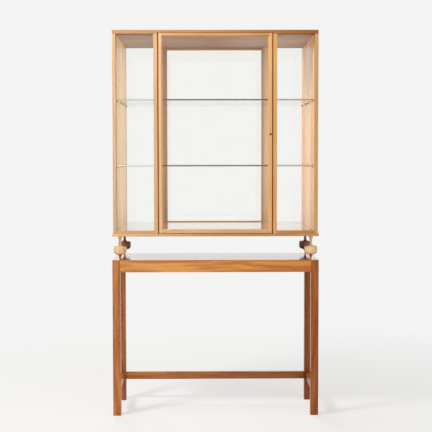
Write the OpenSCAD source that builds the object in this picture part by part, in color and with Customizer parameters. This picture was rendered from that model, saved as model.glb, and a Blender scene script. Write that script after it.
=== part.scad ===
// Glazed display cabinet on four turned feet, on an open stand.
// Millimetres. The origin is on the floor under the middle of the stand.
// +X is to the right, the front faces -Y, +Z is up.

/* [Whole] */
// Width over the stand's legs and over the case's base board
width = 850; // [700:1:1100]
// Depth over the stand's legs and over the case's base board
depth = 315; // [290:1:420]

/* [Stand] */
// Height of the stand, floor to the top of its board
stand_h = 648; // [450:1:800]
// Width of a square leg
leg_t = 32; // [28:0.5:45]
// Thickness of the stand's top board
stand_top_t = 6; // [5:0.5:12]
// Height of an apron
apron_h = 45; // [35:1:80]
// Thickness of an apron
apron_t = 20; // [16:0.5:24]
// Height of the stretchers' underside above the floor
stretcher_z = 92.5; // [60:0.5:200]
// Height of a stretcher
stretcher_h = 31; // [24:0.5:45]
// Thickness of a stretcher
stretcher_t = 18; // [14:0.5:22]
// Thickness of the stand's tenons
tenon_t = 8; // [6:0.5:10]
// Shoulder above and below a tenon of the stand
tenon_shoulder = 6; // [3:0.5:9]
// Leg of a corner block along each apron, past the leg
corner_block = 30; // [20:1:50]
// Height of a corner block
corner_block_h = 34; // [20:1:40]
// Radius of the rounded edge of the stand's top board
stand_top_r = 2; // [1:0.25:2.5]

/* [Turned feet] */
// Distance of a foot's centre from the edges of the stand
foot_inset = 30; // [28:0.5:60]
// Width of the point that a foot stands on
point_d = 5; // [4.5:0.5:10]
// Width of the hollow cone where it meets the disc
cone_d = 19.5; // [14:0.5:24]
// Height of the hollow cone
cone_h = 20.6; // [12:0.1:30]
// Width of the disc
disc_d = 53.6; // [45:0.1:60]
// Height of the disc
disc_h = 34; // [30:0.5:45]
// Radius of the disc's upper edge
disc_top_r = 6; // [4:0.5:10]
// Radius of the disc's underside
disc_under_r = 13; // [8:0.5:19.5]
// Width of the neck at its waist
neck_d = 10.5; // [9.5:0.5:14]
// Radius of the fillet between the neck's waist and the disc
neck_fillet = 11; // [4:0.5:14]
// Width of the neck under the case
neck_high_d = 18; // [15:0.5:22]
// Height of the neck
neck_h = 42.4; // [25:0.1:60]
// Width of the dowel that joins a neck to the case
dowel_d = 8; // [6:0.5:9]
// Length of the dowel
dowel_l = 7; // [5:0.5:8]
// Width of the pin under a foot's point
foot_pin_d = 4; // [3:0.5:5]
// Length of the pin under a foot's point
foot_pin_l = 4; // [3:0.5:4.5]

/* [Case] */
// Height of the case above its base board
case_h = 832; // [600:1:1000]
// Overhang of the base board round the case
base_over = 4; // [2:0.5:10]
// Thickness of the base board
base_t = 11; // [10:0.5:20]
// Radius of the base board's edges
base_r = 2; // [1:0.25:3]
// Thickness of a side panel
side_t = 14.5; // [14:0.5:20]
// Thickness of the floor board
floor_t = 13; // [12.5:0.5:20]
// Thickness of the top board
roof_t = 16; // [14.5:0.5:24]
// Width of a mid post
post_w = 16; // [14:0.5:24]
// Depth of a mid post
post_d = 36; // [34:0.5:50]
// Tenon of a mid post, across its width
post_tenon_w = 8; // [6:0.5:9]
// Tenon of a mid post, along its depth
post_tenon_d = 18; // [12:0.5:19]
// Height of a mid post's tenons
post_tenon_h = 6; // [4:0.5:7]
// Width of the stop on a mid post that closes the gap behind the door's edge
stop_w = 6; // [5:0.5:9]
// Thickness and height of the tongues between the boards
tongue = 5; // [4:0.25:6]
// Radius of the case's softened edges
arris = 1; // [0.5:0.1:1.5]

/* [Glass] */
// Thickness of the window glass
pane_t = 4; // [3:0.5:5]
// Distance of the side panes behind the front of the case
pane_set = 26; // [22:0.5:27]
// Depth of the grooves that hold the side panes
groove_d = 5; // [3:0.5:5.5]
// Thickness of the mirror that closes the back
mirror_t = 4; // [3:0.5:6]
// Lap of the mirror behind the boards round it
mirror_lap = 5; // [4:0.5:5.5]
// Thickness of the panel behind the mirror
back_t = 6; // [4:0.5:9]
// Lap of the back panel behind the boards round it
back_lap = 11; // [10.5:0.25:11.5]
// Thickness of a glass shelf
shelf_t = 6; // [5:0.5:10]
// Lower shelf's underside above the floor board
shelf_low = 263; // [150:1:300]
// Upper shelf's underside above the floor board
shelf_high = 534.5; // [450:0.5:600]
// Radius of a shelf's polished edges
shelf_r = 1; // [0.5:0.25:2]
// Front shelf pins behind the shelf's front edge
shelf_pin_front = 18; // [10:1:60]
// Back shelf pins before the shelf's back edge
shelf_pin_back = 61.5; // [10:0.5:80]
// Width of a shelf pin
shelf_pin_d = 5; // [4:0.5:6]
// Length of a shelf pin inside the case
shelf_pin_out = 7; // [5:0.5:12]
// Length of a shelf pin in its hole
shelf_pin_in = 7; // [5:0.5:9]

/* [Door] */
// Width of the door
door_w = 467; // [350:1:520]
// Thickness of the door
door_t = 18; // [17:0.5:19]
// Gap between the door and each mid post
door_gap = 3; // [2.5:0.1:4]
// Gap above and below the door
door_play = 1.5; // [1:0.1:2.5]
// Height by which the door laps over the top board
door_lap = 3.5; // [2:0.25:4]
// Gap between the boards behind the door and its back edge as it swings past them
door_swing_gap = 0.6; // [0.5:0.1:2]
// Width of a door stile
stile_w = 16.5; // [16.5:0.5:24]
// Height of the door's top rail
rail_top_h = 15; // [14.5:0.5:24]
// Height of the door's bottom rail
rail_low_h = 16; // [15:0.5:24]
// Bevel round the door's glass
bevel = 4.5; // [3:0.25:5]
// Thickness of the lip that the door's glass rests against
lip_t = 4; // [3.5:0.25:4.5]
// Width of the rebate for the door's glass
rebate_w = 6; // [5:0.25:6]
// Length of a door rail's tenons
rail_tenon_l = 8; // [5:0.5:9]
// Thickness of a door rail's tenons
rail_tenon_t = 5; // [4:0.25:5.5]
// Shoulder above and below a door rail's tenon
rail_shoulder = 1.75; // [1.5:0.25:2]
// Bevel of the glazing beads
bead_bevel = 2.5; // [1:0.25:4]

/* [Pivots] */
// Pivot's distance from the door's left edge
pivot_in = 8; // [7.5:0.25:9]
// Pivot's distance behind the door's front
pivot_back = 5; // [4.5:0.1:5.2]
// Width of the pivot pins
pivot_d = 4.5; // [3.5:0.25:5]
// Width of the bushes in the door
bush_d = 7; // [6.5:0.25:7.5]
// Length of the bushes
bush_l = 10; // [8:0.5:14]
// Length of the pivot pins inside the door
pivot_l = 8.5; // [6:0.5:8.5]
// Length of the pivot plates
plate_l = 28; // [26:1:40]
// Width of the pivot plates
plate_w = 9; // [8.5:0.25:9.5]
// Thickness of the pivot plates
plate_t = 1.5; // [1:0.25:2]

/* [Lock] */
// Height of the keyhole above the door's lower edge
keyhole_up = 406.5; // [300:0.5:500]
// Keyhole's distance from the door's right edge
keyhole_in = 7.5; // [6:0.25:8]
// Width of the keyhole's round part
keyhole_d = 2.8; // [2:0.1:3]
// Width of the keyhole's slot
keyhole_slot = 1.4; // [1:0.1:1.8]
// Length of the keyhole's slot below its centre
keyhole_drop = 3.2; // [2.5:0.1:3.4]
// Width of the round escutcheon
escutcheon_d = 8; // [7.5:0.25:9]
// Thickness of the escutcheon, half of it let in
escutcheon_t = 1.2; // [0.8:0.1:2]
// Depth of the lock case into the door's edge
lock_l = 9; // [8.5:0.25:9.5]
// Thickness of the lock case
lock_t = 7; // [6:0.25:8]
// Height of the lock case
lock_h = 24; // [20:1:40]
// Height of the lock's face plate and of the strike plate
lock_plate_h = 38; // [36:1:60]
// Thickness of the face plate and of the strike plate
lock_plate_t = 1; // [0.8:0.1:1.5]
// Wood before the lock case
lock_cover = 5; // [4:0.25:6]
// Height of the bolt
bolt_h = 10; // [8:0.5:14]
// Thickness of the bolt
bolt_t = 3; // [2.5:0.25:3.5]
// Length of the bolt
bolt_l = 7.5; // [7.2:0.1:7.6]
// Travel of the bolt
bolt_travel = 5; // [4.5:0.1:5.2]

/* [Screws] */
// Width of the screws of the back panel and of the base board
screw_d = 2.5; // [2:0.25:3]
// Head width of those screws
screw_head = 5; // [4.5:0.25:5.5]
// Length of the back panel's screws
back_screw_l = 18; // [14:0.5:24]
// Length of the base board's screws
base_screw_l = 28; // [22:0.5:36]
// Width of the screws of the brass plates
small_screw_d = 2; // [1.6:0.1:2.2]
// Head width of the small screws
small_screw_head = 3.6; // [3:0.1:4]
// Length of the small screws
small_screw_l = 7; // [5:0.25:7.5]

/* [Fits] */
// Clearance round a glued joint, a dowel, a bush or a screw
joint_gap = 0.1; // [0.05:0.01:0.2]
// Play at the edges of glass in its groove
glass_play = 0.3; // [0.2:0.05:0.6]
// Gap at the edges of a shelf
shelf_play = 1; // [0.5:0.1:2]
// Gap between the shut door and its stop
stop_gap = 0.3; // [0.2:0.05:0.6]
// Running clearance of a pivot pin in its bush
pivot_gap = 0.05; // [0.03:0.01:0.1]
// Gap between the lower bush and its collar
collar_gap = 0.2; // [0.1:0.05:0.4]
// Sliding clearance of the bolt
bolt_gap = 0.3; // [0.2:0.05:0.4]

/* [Hidden] */
$fn = 64;

// Colours
stand_wood = [0.72, 0.43, 0.23];
case_wood = [0.87, 0.66, 0.44];
foot_wood = [0.80, 0.56, 0.33];
panel_wood = [0.80, 0.66, 0.48];
clear_glass = [0.80, 0.92, 0.88, 0.35];
silver_glass = [0.86, 0.89, 0.90];
brass = [0.78, 0.62, 0.30];
dark_brass = [0.25, 0.18, 0.12];
steel = [0.62, 0.62, 0.64];

// Length by which a cut runs past the face that it opens
over = 1;
// Wall left between crossing tenons, and before a stopped groove
tenon_wall = 3;
groove_stop = 12;
// Screws on each side and on each end of the back, and under each side panel
side_screws = 4;
end_screws = 4;
base_screw_rows = 3;
// Distance of the outer screws from the corners
screw_end = 60;

// Stand
stand_x = width / 2;
stand_y = depth / 2;
leg_x = stand_x - leg_t;
leg_y = stand_y - leg_t;
leg_h = stand_h - stand_top_t;
apron_z = leg_h - apron_h;
apron_mid_x = stand_x - apron_t / 2;
apron_mid_y = stand_y - apron_t / 2;
apron_tenon_l = leg_t - (apron_t + tenon_t) / 2 - tenon_wall;
leg_mid_x = stand_x - leg_t / 2;
leg_mid_y = stand_y - leg_t / 2;
stretcher_tenon_l = (leg_t - tenon_t) / 2 - tenon_wall / 2;

// Feet
foot_h = cone_h + disc_h + neck_h;
foot_x = stand_x - foot_inset;
foot_y = stand_y - foot_inset;
neck_low_r = min(neck_fillet, disc_d / 2 - disc_top_r - neck_d / 2);

// Case
case_x = stand_x - base_over;
case_y = stand_y - base_over;
side_x = case_x - side_t;
base_z = stand_h + foot_h;
case_z = base_z + base_t;
floor_z = case_z + floor_t;
top_z = case_z + case_h;
roof_z = top_z - roof_t;
panel_y = case_y - back_t;
mirror_y = panel_y - mirror_t;
post_x = door_w / 2 + door_gap;
post_out_x = post_x + post_w;
post_y = -case_y + post_d;
post_mid_x = post_x + post_w / 2;
post_mid_y = -case_y + post_d / 2;
pane_y = -case_y + pane_set;
screw_lap = (mirror_lap + back_lap) / 2;
base_screw_x = case_x - side_t / 2;

// Shelves
shelf_x = side_x - shelf_play;
shelf_front_y = post_y + shelf_play;
shelf_back_y = mirror_y - shelf_play / 2;
shelf_heights = [floor_z + shelf_low, floor_z + shelf_high];
shelf_pin_ys = [shelf_front_y + shelf_pin_front, shelf_back_y - shelf_pin_back];

// Door
door_x = door_w / 2;
door_front = -case_y;
door_back = door_front + door_t;
door_z0 = case_z + door_play;
door_z1 = roof_z + door_lap;
notch_z = door_z1 + door_play;
sight_x = door_x - stile_w;
sight_z0 = door_z0 + rail_low_h;
sight_z1 = door_z1 - rail_top_h;
glass_y = door_front + bevel + lip_t;
bead_y = glass_y + pane_t;
rail_tenon_y = glass_y + joint_gap + over / 2;

// Pivots
pivot_x = -door_x + pivot_in;
pivot_y = door_front + pivot_back;
swing_r = norm([pivot_in, door_t - pivot_back]);
notch_y = pivot_y + swing_r + door_swing_gap;
plate_x = pivot_x - plate_w / 2;
pivot_screw_xs = [plate_x + plate_l - small_screw_head / 2 - over,
                  plate_x + plate_l - small_screw_head * 2 - over * 3];

// Lock
keyhole_x = door_x - keyhole_in;
keyhole_z = door_z0 + keyhole_up;
lock_y = door_front + lock_cover + lock_t / 2;
bolt_x0 = door_x - bolt_gap - bolt_l;
lock_screw_up = (lock_plate_h + lock_h) / 4;

// Evenly spaced values from a to b
function spread(a, b, n) = [for (i = [0 : n - 1]) a + (b - a) * i / (n - 1)];

// Box between two corners
module block(a, b) {
    translate(a) cube(b - a);
}

// Rectangle with round corners, centred
module soft_rect(w, h, r) {
    square([w - 2 * r, h], center = true);
    square([w, h - 2 * r], center = true);
    for (x = [-1, 1], y = [-1, 1])
        translate([x * (w / 2 - r), y * (h / 2 - r)]) circle(r);
}

// Bars between two corners, with their long edges softened
module bar_x(a, b, r = arris) {
    m = (a + b) / 2;
    translate([a.x, m.y, m.z]) rotate([90, 0, 90])
        linear_extrude(b.x - a.x) soft_rect(b.y - a.y, b.z - a.z, r);
}

module bar_y(a, b, r = arris) {
    m = (a + b) / 2;
    translate([m.x, a.y, m.z]) rotate([-90, 0, 0])
        linear_extrude(b.y - a.y) soft_rect(b.x - a.x, b.z - a.z, r);
}

module bar_z(a, b, r = arris) {
    m = (a + b) / 2;
    translate([m.x, m.y, a.z])
        linear_extrude(b.z - a.z) soft_rect(b.x - a.x, b.y - a.y, r);
}

// Board with every long edge softened
module board(a, b, r = arris) {
    intersection() {
        bar_x(a, b, r);
        bar_y(a, b, r);
    }
}

// Puts a right-hand, back-hand shape on the side that x and y name
module at_side(x, y = 1) {
    mirror([x < 0 ? 1 : 0, 0, 0]) mirror([0, y < 0 ? 1 : 0, 0]) children();
}

// Countersunk slotted screw that points down, its head's top at the origin
module screw(d, head, l) {
    head_h = (head - d) / 2;
    difference() {
        union() {
            translate([0, 0, -l]) cylinder(h = l, d = d);
            translate([0, 0, -head_h]) cylinder(h = head_h, d1 = d, d2 = head);
        }
        cube([head + over, d / 3, head_h], center = true);
    }
}

// Room for a screw, open above its head
module screw_hole(d, head, l) {
    wide = d + 2 * joint_gap;
    head_h = (head - d) / 2;
    translate([0, 0, -l - joint_gap]) cylinder(h = l + over, d = wide);
    translate([0, 0, -head_h]) cylinder(h = head_h, d1 = wide, d2 = head + 2 * joint_gap);
    cylinder(h = over, d = head + 2 * joint_gap);
}

module plate_screw() {
    screw(small_screw_d, small_screw_head, small_screw_l);
}

module plate_screw_hole() {
    screw_hole(small_screw_d, small_screw_head, small_screw_l);
}

// Tenon along X or Y: length l, thickness t, height h, rooted in the piece behind the origin
module tenon_x(l, t, h, gap = 0) {
    translate([-over, -t / 2 - gap, -gap]) cube([over + l + gap, t + 2 * gap, h + 2 * gap]);
}

module tenon_y(l, t, h, gap = 0) {
    translate([-t / 2 - gap, -over, -gap]) cube([t + 2 * gap, over + l + gap, h + 2 * gap]);
}

// The stand's tenons, at the right back leg
module apron_tenon_x(gap = 0) {
    translate([leg_x, apron_mid_y, apron_z + tenon_shoulder])
        tenon_x(apron_tenon_l, tenon_t, apron_h - 2 * tenon_shoulder, gap);
}

module apron_tenon_y(gap = 0) {
    translate([apron_mid_x, leg_y, apron_z + tenon_shoulder])
        tenon_y(apron_tenon_l, tenon_t, apron_h - 2 * tenon_shoulder, gap);
}

module stretcher_tenon_x(gap = 0) {
    translate([leg_x, leg_mid_y, stretcher_z + tenon_shoulder])
        tenon_x(stretcher_tenon_l, tenon_t, stretcher_h - 2 * tenon_shoulder, gap);
}

module stretcher_tenon_y(gap = 0) {
    translate([leg_mid_x, leg_y, stretcher_z + tenon_shoulder])
        tenon_y(stretcher_tenon_l, tenon_t, stretcher_h - 2 * tenon_shoulder, gap);
}

// Square leg with its mortises; y is 1 at the back and -1 at the front
module leg(x, y) {
    color(stand_wood) at_side(x, y) difference() {
        bar_z([leg_x, leg_y, 0], [stand_x, stand_y, leg_h]);
        apron_tenon_x(joint_gap);
        apron_tenon_y(joint_gap);
        stretcher_tenon_y(joint_gap);
        if (y > 0) stretcher_tenon_x(joint_gap);
    }
}

// Apron along the front or the back
module apron_long(y) {
    color(stand_wood) at_side(1, y) {
        bar_x([-leg_x, stand_y - apron_t, apron_z], [leg_x, stand_y, leg_h]);
        for (x = [-1, 1]) at_side(x) apron_tenon_x();
    }
}

// Apron along a side
module apron_side(x) {
    color(stand_wood) at_side(x) {
        bar_y([stand_x - apron_t, -leg_y, apron_z], [stand_x, leg_y, leg_h]);
        for (y = [-1, 1]) at_side(1, y) apron_tenon_y();
    }
}

module stretcher_back() {
    color(stand_wood) {
        bar_x([-leg_x, leg_mid_y - stretcher_t / 2, stretcher_z],
              [leg_x, leg_mid_y + stretcher_t / 2, stretcher_z + stretcher_h]);
        for (x = [-1, 1]) at_side(x) stretcher_tenon_x();
    }
}

module stretcher_side(x) {
    color(stand_wood) at_side(x) {
        bar_y([leg_mid_x - stretcher_t / 2, -leg_y, stretcher_z],
              [leg_mid_x + stretcher_t / 2, leg_y, stretcher_z + stretcher_h]);
        for (y = [-1, 1]) at_side(1, y) stretcher_tenon_y();
    }
}

// Glue blocks that fill the corners between the aprons and each leg
module corner_blocks() {
    in_x = stand_x - apron_t;
    in_y = stand_y - apron_t;
    color(case_wood) for (x = [-1, 1], y = [-1, 1]) at_side(x, y)
        translate([0, 0, leg_h - corner_block_h]) linear_extrude(corner_block_h)
            polygon([[leg_x - corner_block, in_y], [leg_x, in_y], [leg_x, leg_y], [in_x, leg_y],
                     [in_x, leg_y - corner_block]]);
}

module stand_top() {
    color(stand_wood) difference() {
        board([-stand_x, -stand_y, leg_h], [stand_x, stand_y, stand_h], stand_top_r);
        for (x = [-1, 1], y = [-1, 1]) translate([x * foot_x, y * foot_y, stand_h - foot_pin_l])
            translate([0, 0, -joint_gap]) cylinder(h = foot_pin_l + over, d = foot_pin_d + 2 * joint_gap);
    }
}

// Half outline that starts upright at the radius r and curves out by run over the height rise
module flare(r, rise, run) {
    arc_r = (rise * rise + run * run) / (2 * run);
    difference() {
        square([r + run, rise]);
        translate([r + arc_r, 0]) circle(arc_r, $fn = 256);
    }
}

// Half outline of a foot's disc, its underside at the origin
module disc_outline() {
    r = disc_d / 2;
    side_low = disc_under_r;
    side_high = disc_h - disc_top_r;
    square([r - disc_under_r, disc_h]);
    intersection() {
        translate([r - disc_under_r, side_low]) circle(disc_under_r);
        square([r, side_low]);
    }
    translate([0, side_low]) square([r, side_high - side_low]);
    translate([0, side_high]) square([r - disc_top_r, disc_top_r]);
    intersection() {
        translate([r - disc_top_r, side_high]) circle(disc_top_r);
        translate([0, side_high]) square([r, disc_top_r]);
    }
}

// Half outline of a neck: a fillet on the disc up to the waist, then a slow curve out to the case
module neck_outline() {
    r = neck_d / 2;
    translate([0, neck_low_r]) mirror([0, 1]) flare(r, neck_low_r, neck_low_r);
    translate([0, neck_low_r]) flare(r, neck_h - neck_low_r, neck_high_d / 2 - r);
}

// One turned foot: pin, hollow cone, disc, neck and dowel
module turned_foot() {
    rotate_extrude() {
        translate([0, -foot_pin_l]) square([foot_pin_d / 2, foot_pin_l]);
        flare(point_d / 2, cone_h, (cone_d - point_d) / 2);
        translate([0, cone_h]) disc_outline();
        translate([0, cone_h + disc_h]) neck_outline();
        translate([0, foot_h]) square([dowel_d / 2, dowel_l]);
    }
}

module foot(x, y) {
    color(foot_wood) translate([x * foot_x, y * foot_y, stand_h]) turned_foot();
}

// Tenons of a right mid post, below the height a and above the height b
module post_tenon(a, b, gap = 0) {
    wide = post_tenon_w + 2 * gap;
    deep = post_tenon_d + 2 * gap;
    translate([post_mid_x - wide / 2, post_mid_y - deep / 2, a]) cube([wide, deep, b - a]);
}

module post_foot(gap = 0) {
    post_tenon(case_z - post_tenon_h - gap, case_z + over, gap);
}

module post_head(gap = 0) {
    post_tenon(roof_z - over, roof_z + post_tenon_h + gap, gap);
}

// Plate of a pivot, its inner face at the origin's height, or raised for a cut
module pivot_plate(gap = 0, raised = 0) {
    translate([plate_x - gap, pivot_y - plate_w / 2 - gap, -plate_t])
        cube([plate_l + 2 * gap, plate_w + 2 * gap, plate_t + raised]);
}

// Places its children, drawn for the bottom pivot, at the bottom or at the top
module at_pivot(top) {
    translate([0, 0, top ? notch_z : case_z]) mirror([0, 0, top ? 1 : 0]) children();
}

module pivot_recess(top) {
    at_pivot(top) {
        pivot_plate(joint_gap, over);
        for (x = pivot_screw_xs) translate([x, pivot_y, 0]) plate_screw_hole();
    }
}

module base_board() {
    color(case_wood) difference() {
        board([-stand_x, -stand_y, base_z], [stand_x, stand_y, case_z], base_r);
        for (x = [-1, 1], y = [-1, 1]) translate([x * foot_x, y * foot_y, base_z - over])
            cylinder(h = dowel_l + over + joint_gap, d = dowel_d + 2 * joint_gap);
        for (x = [-1, 1]) at_side(x) post_foot(joint_gap);
        base_screw_holes();
        pivot_recess(false);
    }
}

// Screws that hold the side panels down on the base board
module at_base_screws() {
    reach = panel_y - screw_end;
    for (x = [-1, 1], y = spread(-reach, reach, base_screw_rows))
        translate([x * base_screw_x, y, base_z]) rotate([180, 0, 0]) children();
}

module base_screws() {
    color(steel) at_base_screws() screw(screw_d, screw_head, base_screw_l);
}

module base_screw_holes() {
    at_base_screws() screw_hole(screw_d, screw_head, base_screw_l);
}

// Stepped recess for the mirror and the panel behind it, less the given play
module back_recess() {
    block([-side_x - mirror_lap, mirror_y, floor_z - mirror_lap],
          [side_x + mirror_lap, case_y + over, roof_z + mirror_lap]);
    block([-side_x - back_lap, panel_y, floor_z - back_lap],
          [side_x + back_lap, case_y + over, roof_z + back_lap]);
}

// Screws of the back panel, all round its edge
module at_back_screws() {
    x1 = side_x + screw_lap;
    z0 = floor_z - screw_lap;
    z1 = roof_z + screw_lap;
    for (x = [-x1, x1], z = spread(z0 + screw_end, z1 - screw_end, side_screws))
        translate([x, case_y, z]) rotate([-90, 0, 0]) children();
    for (z = [z0, z1], x = spread(-x1 + screw_end, x1 - screw_end, end_screws))
        translate([x, case_y, z]) rotate([-90, 0, 0]) children();
}

module back_screws() {
    color(steel) at_back_screws() screw(screw_d, screw_head, back_screw_l);
}

module back_screw_holes() {
    at_back_screws() screw_hole(screw_d, screw_head, back_screw_l);
}

// Side pane, on the right, less the given play at its edges
module pane(play = 0) {
    block([post_out_x - groove_d + play, pane_y, floor_z - groove_d + play],
          [side_x + groove_d - play, pane_y + pane_t, roof_z + groove_d - play]);
}

module pane_grooves() {
    for (x = [-1, 1]) at_side(x) pane();
}

module side_glass(x) {
    color(clear_glass) at_side(x) pane(glass_play);
}

// Tongue at the floor board's right end, housed in the side panel
module floor_tongue(gap = 0) {
    block([side_x - over, -case_y + groove_stop - gap, case_z + (floor_t - tongue) / 2 - gap],
          [side_x + tongue + gap, mirror_y - groove_stop + gap, case_z + (floor_t + tongue) / 2 + gap]);
}

// Room that the door and its posts need at the front of the floor board
module door_notch() {
    block([-post_x - over, -case_y - over, case_z - over], [post_x + over, notch_y, floor_z + over]);
}

module floor_board() {
    color(case_wood) difference() {
        union() {
            bar_x([-side_x, -case_y, case_z], [side_x, case_y, floor_z]);
            for (x = [-1, 1]) at_side(x) floor_tongue();
        }
        door_notch();
        for (x = [-1, 1]) at_side(x)
            block([post_x, -case_y - over, case_z - over], [post_out_x, post_y, floor_z + over]);
        pane_grooves();
        back_recess();
        back_screw_holes();
    }
}

// Tongue on top of the right side panel, in a groove of the top board
module side_tongue(gap = 0) {
    mid = case_x - side_t / 2;
    block([mid - tongue / 2 - gap, -case_y + groove_stop - gap, roof_z - over],
          [mid + tongue / 2 + gap, mirror_y - groove_stop + gap, roof_z + tongue + gap]);
}

module at_shelf_pins() {
    for (z = shelf_heights, y = shelf_pin_ys)
        translate([side_x, y, z - shelf_pin_d / 2]) rotate([0, 90, 0]) children();
}

module side_panel(x) {
    color(case_wood) union() {
        difference() {
            at_side(x) bar_z([side_x, -case_y, case_z], [case_x, case_y, roof_z]);
            at_side(x) floor_tongue(joint_gap);
            at_side(x) pane();
            at_side(x) at_shelf_pins() translate([0, 0, -over])
                cylinder(h = shelf_pin_in + over + joint_gap, d = shelf_pin_d + 2 * joint_gap);
            back_recess();
            back_screw_holes();
            base_screw_holes();
        }
        at_side(x) side_tongue();
    }
}

// Peg with a tapered tip, from inside the case into the side panel
module shelf_pin() {
    tip = shelf_pin_d / 5;
    translate([0, 0, -shelf_pin_out + tip]) cylinder(h = shelf_pin_out + shelf_pin_in - tip, d = shelf_pin_d);
    translate([0, 0, -shelf_pin_out]) cylinder(h = tip, d1 = shelf_pin_d - 2 * tip, d2 = shelf_pin_d);
}

module shelf_pins() {
    color(brass) for (x = [-1, 1]) at_side(x) at_shelf_pins() shelf_pin();
}

module top_board() {
    color(case_wood) difference() {
        board([-case_x, -case_y, roof_z], [case_x, case_y, top_z]);
        block([-post_x, -case_y - over, roof_z - over], [post_x, notch_y, notch_z]);
        for (x = [-1, 1]) at_side(x) {
            side_tongue(joint_gap);
            post_head(joint_gap);
        }
        pane_grooves();
        back_recess();
        back_screw_holes();
        pivot_recess(true);
    }
}

// Stop along the inner back edge of a right mid post, from the plane y = front back
module door_stop(front) {
    bar_z([post_x - stop_w, front, floor_z], [post_x + 2 * arris, post_y, roof_z]);
}

// Mid post beside the door; the right one takes the strike plate, and the left one's stop
// leaves room for the back edge of the opening door
module mid_post(x) {
    color(case_wood) difference() {
        at_side(x) union() {
            bar_z([post_x, -case_y, case_z], [post_out_x, post_y, roof_z]);
            door_stop(x > 0 ? door_back + stop_gap : notch_y);
            post_foot();
            post_head();
        }
        at_side(x) pane();
        if (x > 0) {
            strike_body(joint_gap, over);
            bolt_room(door_x + bolt_travel + bolt_gap);
            at_strike_screws() plate_screw_hole();
        }
    }
}

module shelf(z) {
    color(clear_glass)
        board([-shelf_x, shelf_front_y, z], [shelf_x, shelf_back_y, z + shelf_t], shelf_r);
}

module mirror_sheet() {
    play = glass_play;
    color(silver_glass)
        block([-side_x - mirror_lap + play, mirror_y, floor_z - mirror_lap + play],
              [side_x + mirror_lap - play, panel_y, roof_z + mirror_lap - play]);
}

module back_panel() {
    play = glass_play;
    color(panel_wood) difference() {
        block([-side_x - back_lap + play, panel_y, floor_z - back_lap + play],
              [side_x + back_lap - play, case_y, roof_z + back_lap - play]);
        back_screw_holes();
    }
}

// Opening of the door that widens to the front, with mitred corners
module bevel_cut() {
    out = bevel + over;
    intersection() {
        translate([0, 0, door_z0 - over]) linear_extrude(door_z1 - door_z0 + 2 * over)
            polygon([[-sight_x - out, door_front - over], [sight_x + out, door_front - over],
                     [sight_x, door_front + bevel], [-sight_x, door_front + bevel]]);
        translate([-door_x, 0, 0]) rotate([90, 0, 90]) linear_extrude(door_w)
            polygon([[door_front - over, sight_z0 - out], [door_front + bevel, sight_z0],
                     [door_front + bevel, sight_z1], [door_front - over, sight_z1 + out]]);
    }
}

// The door's whole frame, bevelled in front and rebated behind
module door_frame() {
    difference() {
        intersection() {
            bar_z([-door_x, door_front, door_z0], [door_x, door_back, door_z1]);
            bar_x([-door_x, door_front, door_z0], [door_x, door_back, door_z1]);
        }
        block([-sight_x, door_front - over, sight_z0], [sight_x, door_back + over, sight_z1]);
        bevel_cut();
        block([-sight_x - rebate_w, glass_y, sight_z0 - rebate_w],
              [sight_x + rebate_w, door_back + over, sight_z1 + rebate_w]);
    }
}

// Extrudes an outline drawn in X and Z through the whole door
module through_door() {
    translate([0, door_back + over, 0]) rotate([90, 0, 0])
        linear_extrude(door_t + 2 * over) children();
}

// Outline of the right stile, mitred where its bevel meets the rails' bevel
module stile_outline() {
    polygon([[door_x + over, door_z0 - over], [door_x + over, door_z1 + over],
             [sight_x + bevel, door_z1 + over], [sight_x + bevel, sight_z1 + bevel],
             [sight_x, sight_z1], [sight_x, sight_z0],
             [sight_x + bevel, sight_z0 - bevel], [sight_x + bevel, door_z0 - over]]);
}

// Tenon at the right end of a door rail between the heights a and b
module rail_tenon(a, b, gap = 0) {
    block([sight_x + bevel - over, rail_tenon_y - gap, a - gap],
          [sight_x + bevel + rail_tenon_l + gap, rail_tenon_y + rail_tenon_t + gap, b + gap]);
}

module low_tenon(gap = 0) {
    rail_tenon(door_z0 + rail_shoulder, sight_z0 - rebate_w - rail_shoulder, gap);
}

module top_tenon(gap = 0) {
    rail_tenon(sight_z1 + rebate_w + rail_shoulder, door_z1 - rail_shoulder, gap);
}

// Places its children, drawn from the lower end up, at a bush of the door
module at_bush(top) {
    translate([pivot_x, pivot_y, top ? door_z1 : door_z0]) mirror([0, 0, top ? 1 : 0]) children();
}

module door_stile(x) {
    color(case_wood) difference() {
        intersection() {
            door_frame();
            at_side(x) through_door() stile_outline();
        }
        at_side(x) low_tenon(joint_gap);
        at_side(x) top_tenon(joint_gap);
        if (x < 0)
            for (top = [false, true]) at_bush(top) translate([0, 0, -over])
                cylinder(h = bush_l + over + joint_gap, d = bush_d + 2 * joint_gap);
        if (x > 0) {
            lock_body(joint_gap, over);
            at_lock_screws() plate_screw_hole();
            escutcheon_disc(joint_gap);
            keyhole(lock_y, joint_gap);
        }
    }
}

// Rail of the door, between the stiles
module door_rail(top) {
    color(case_wood) {
        intersection() {
            door_frame();
            difference() {
                through_door() difference() {
                    translate([-sight_x - bevel, top ? sight_z1 : door_z0 - over])
                        square([2 * (sight_x + bevel), (top ? rail_top_h : rail_low_h) + over]);
                    stile_outline();
                    mirror([1, 0]) stile_outline();
                }
            }
        }
        for (x = [-1, 1]) at_side(x) if (top) top_tenon(); else low_tenon();
    }
}

module door_glass() {
    lap = rebate_w - glass_play;
    color(clear_glass)
        block([-sight_x - lap, glass_y, sight_z0 - lap], [sight_x + lap, bead_y, sight_z1 + lap]);
}

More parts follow.
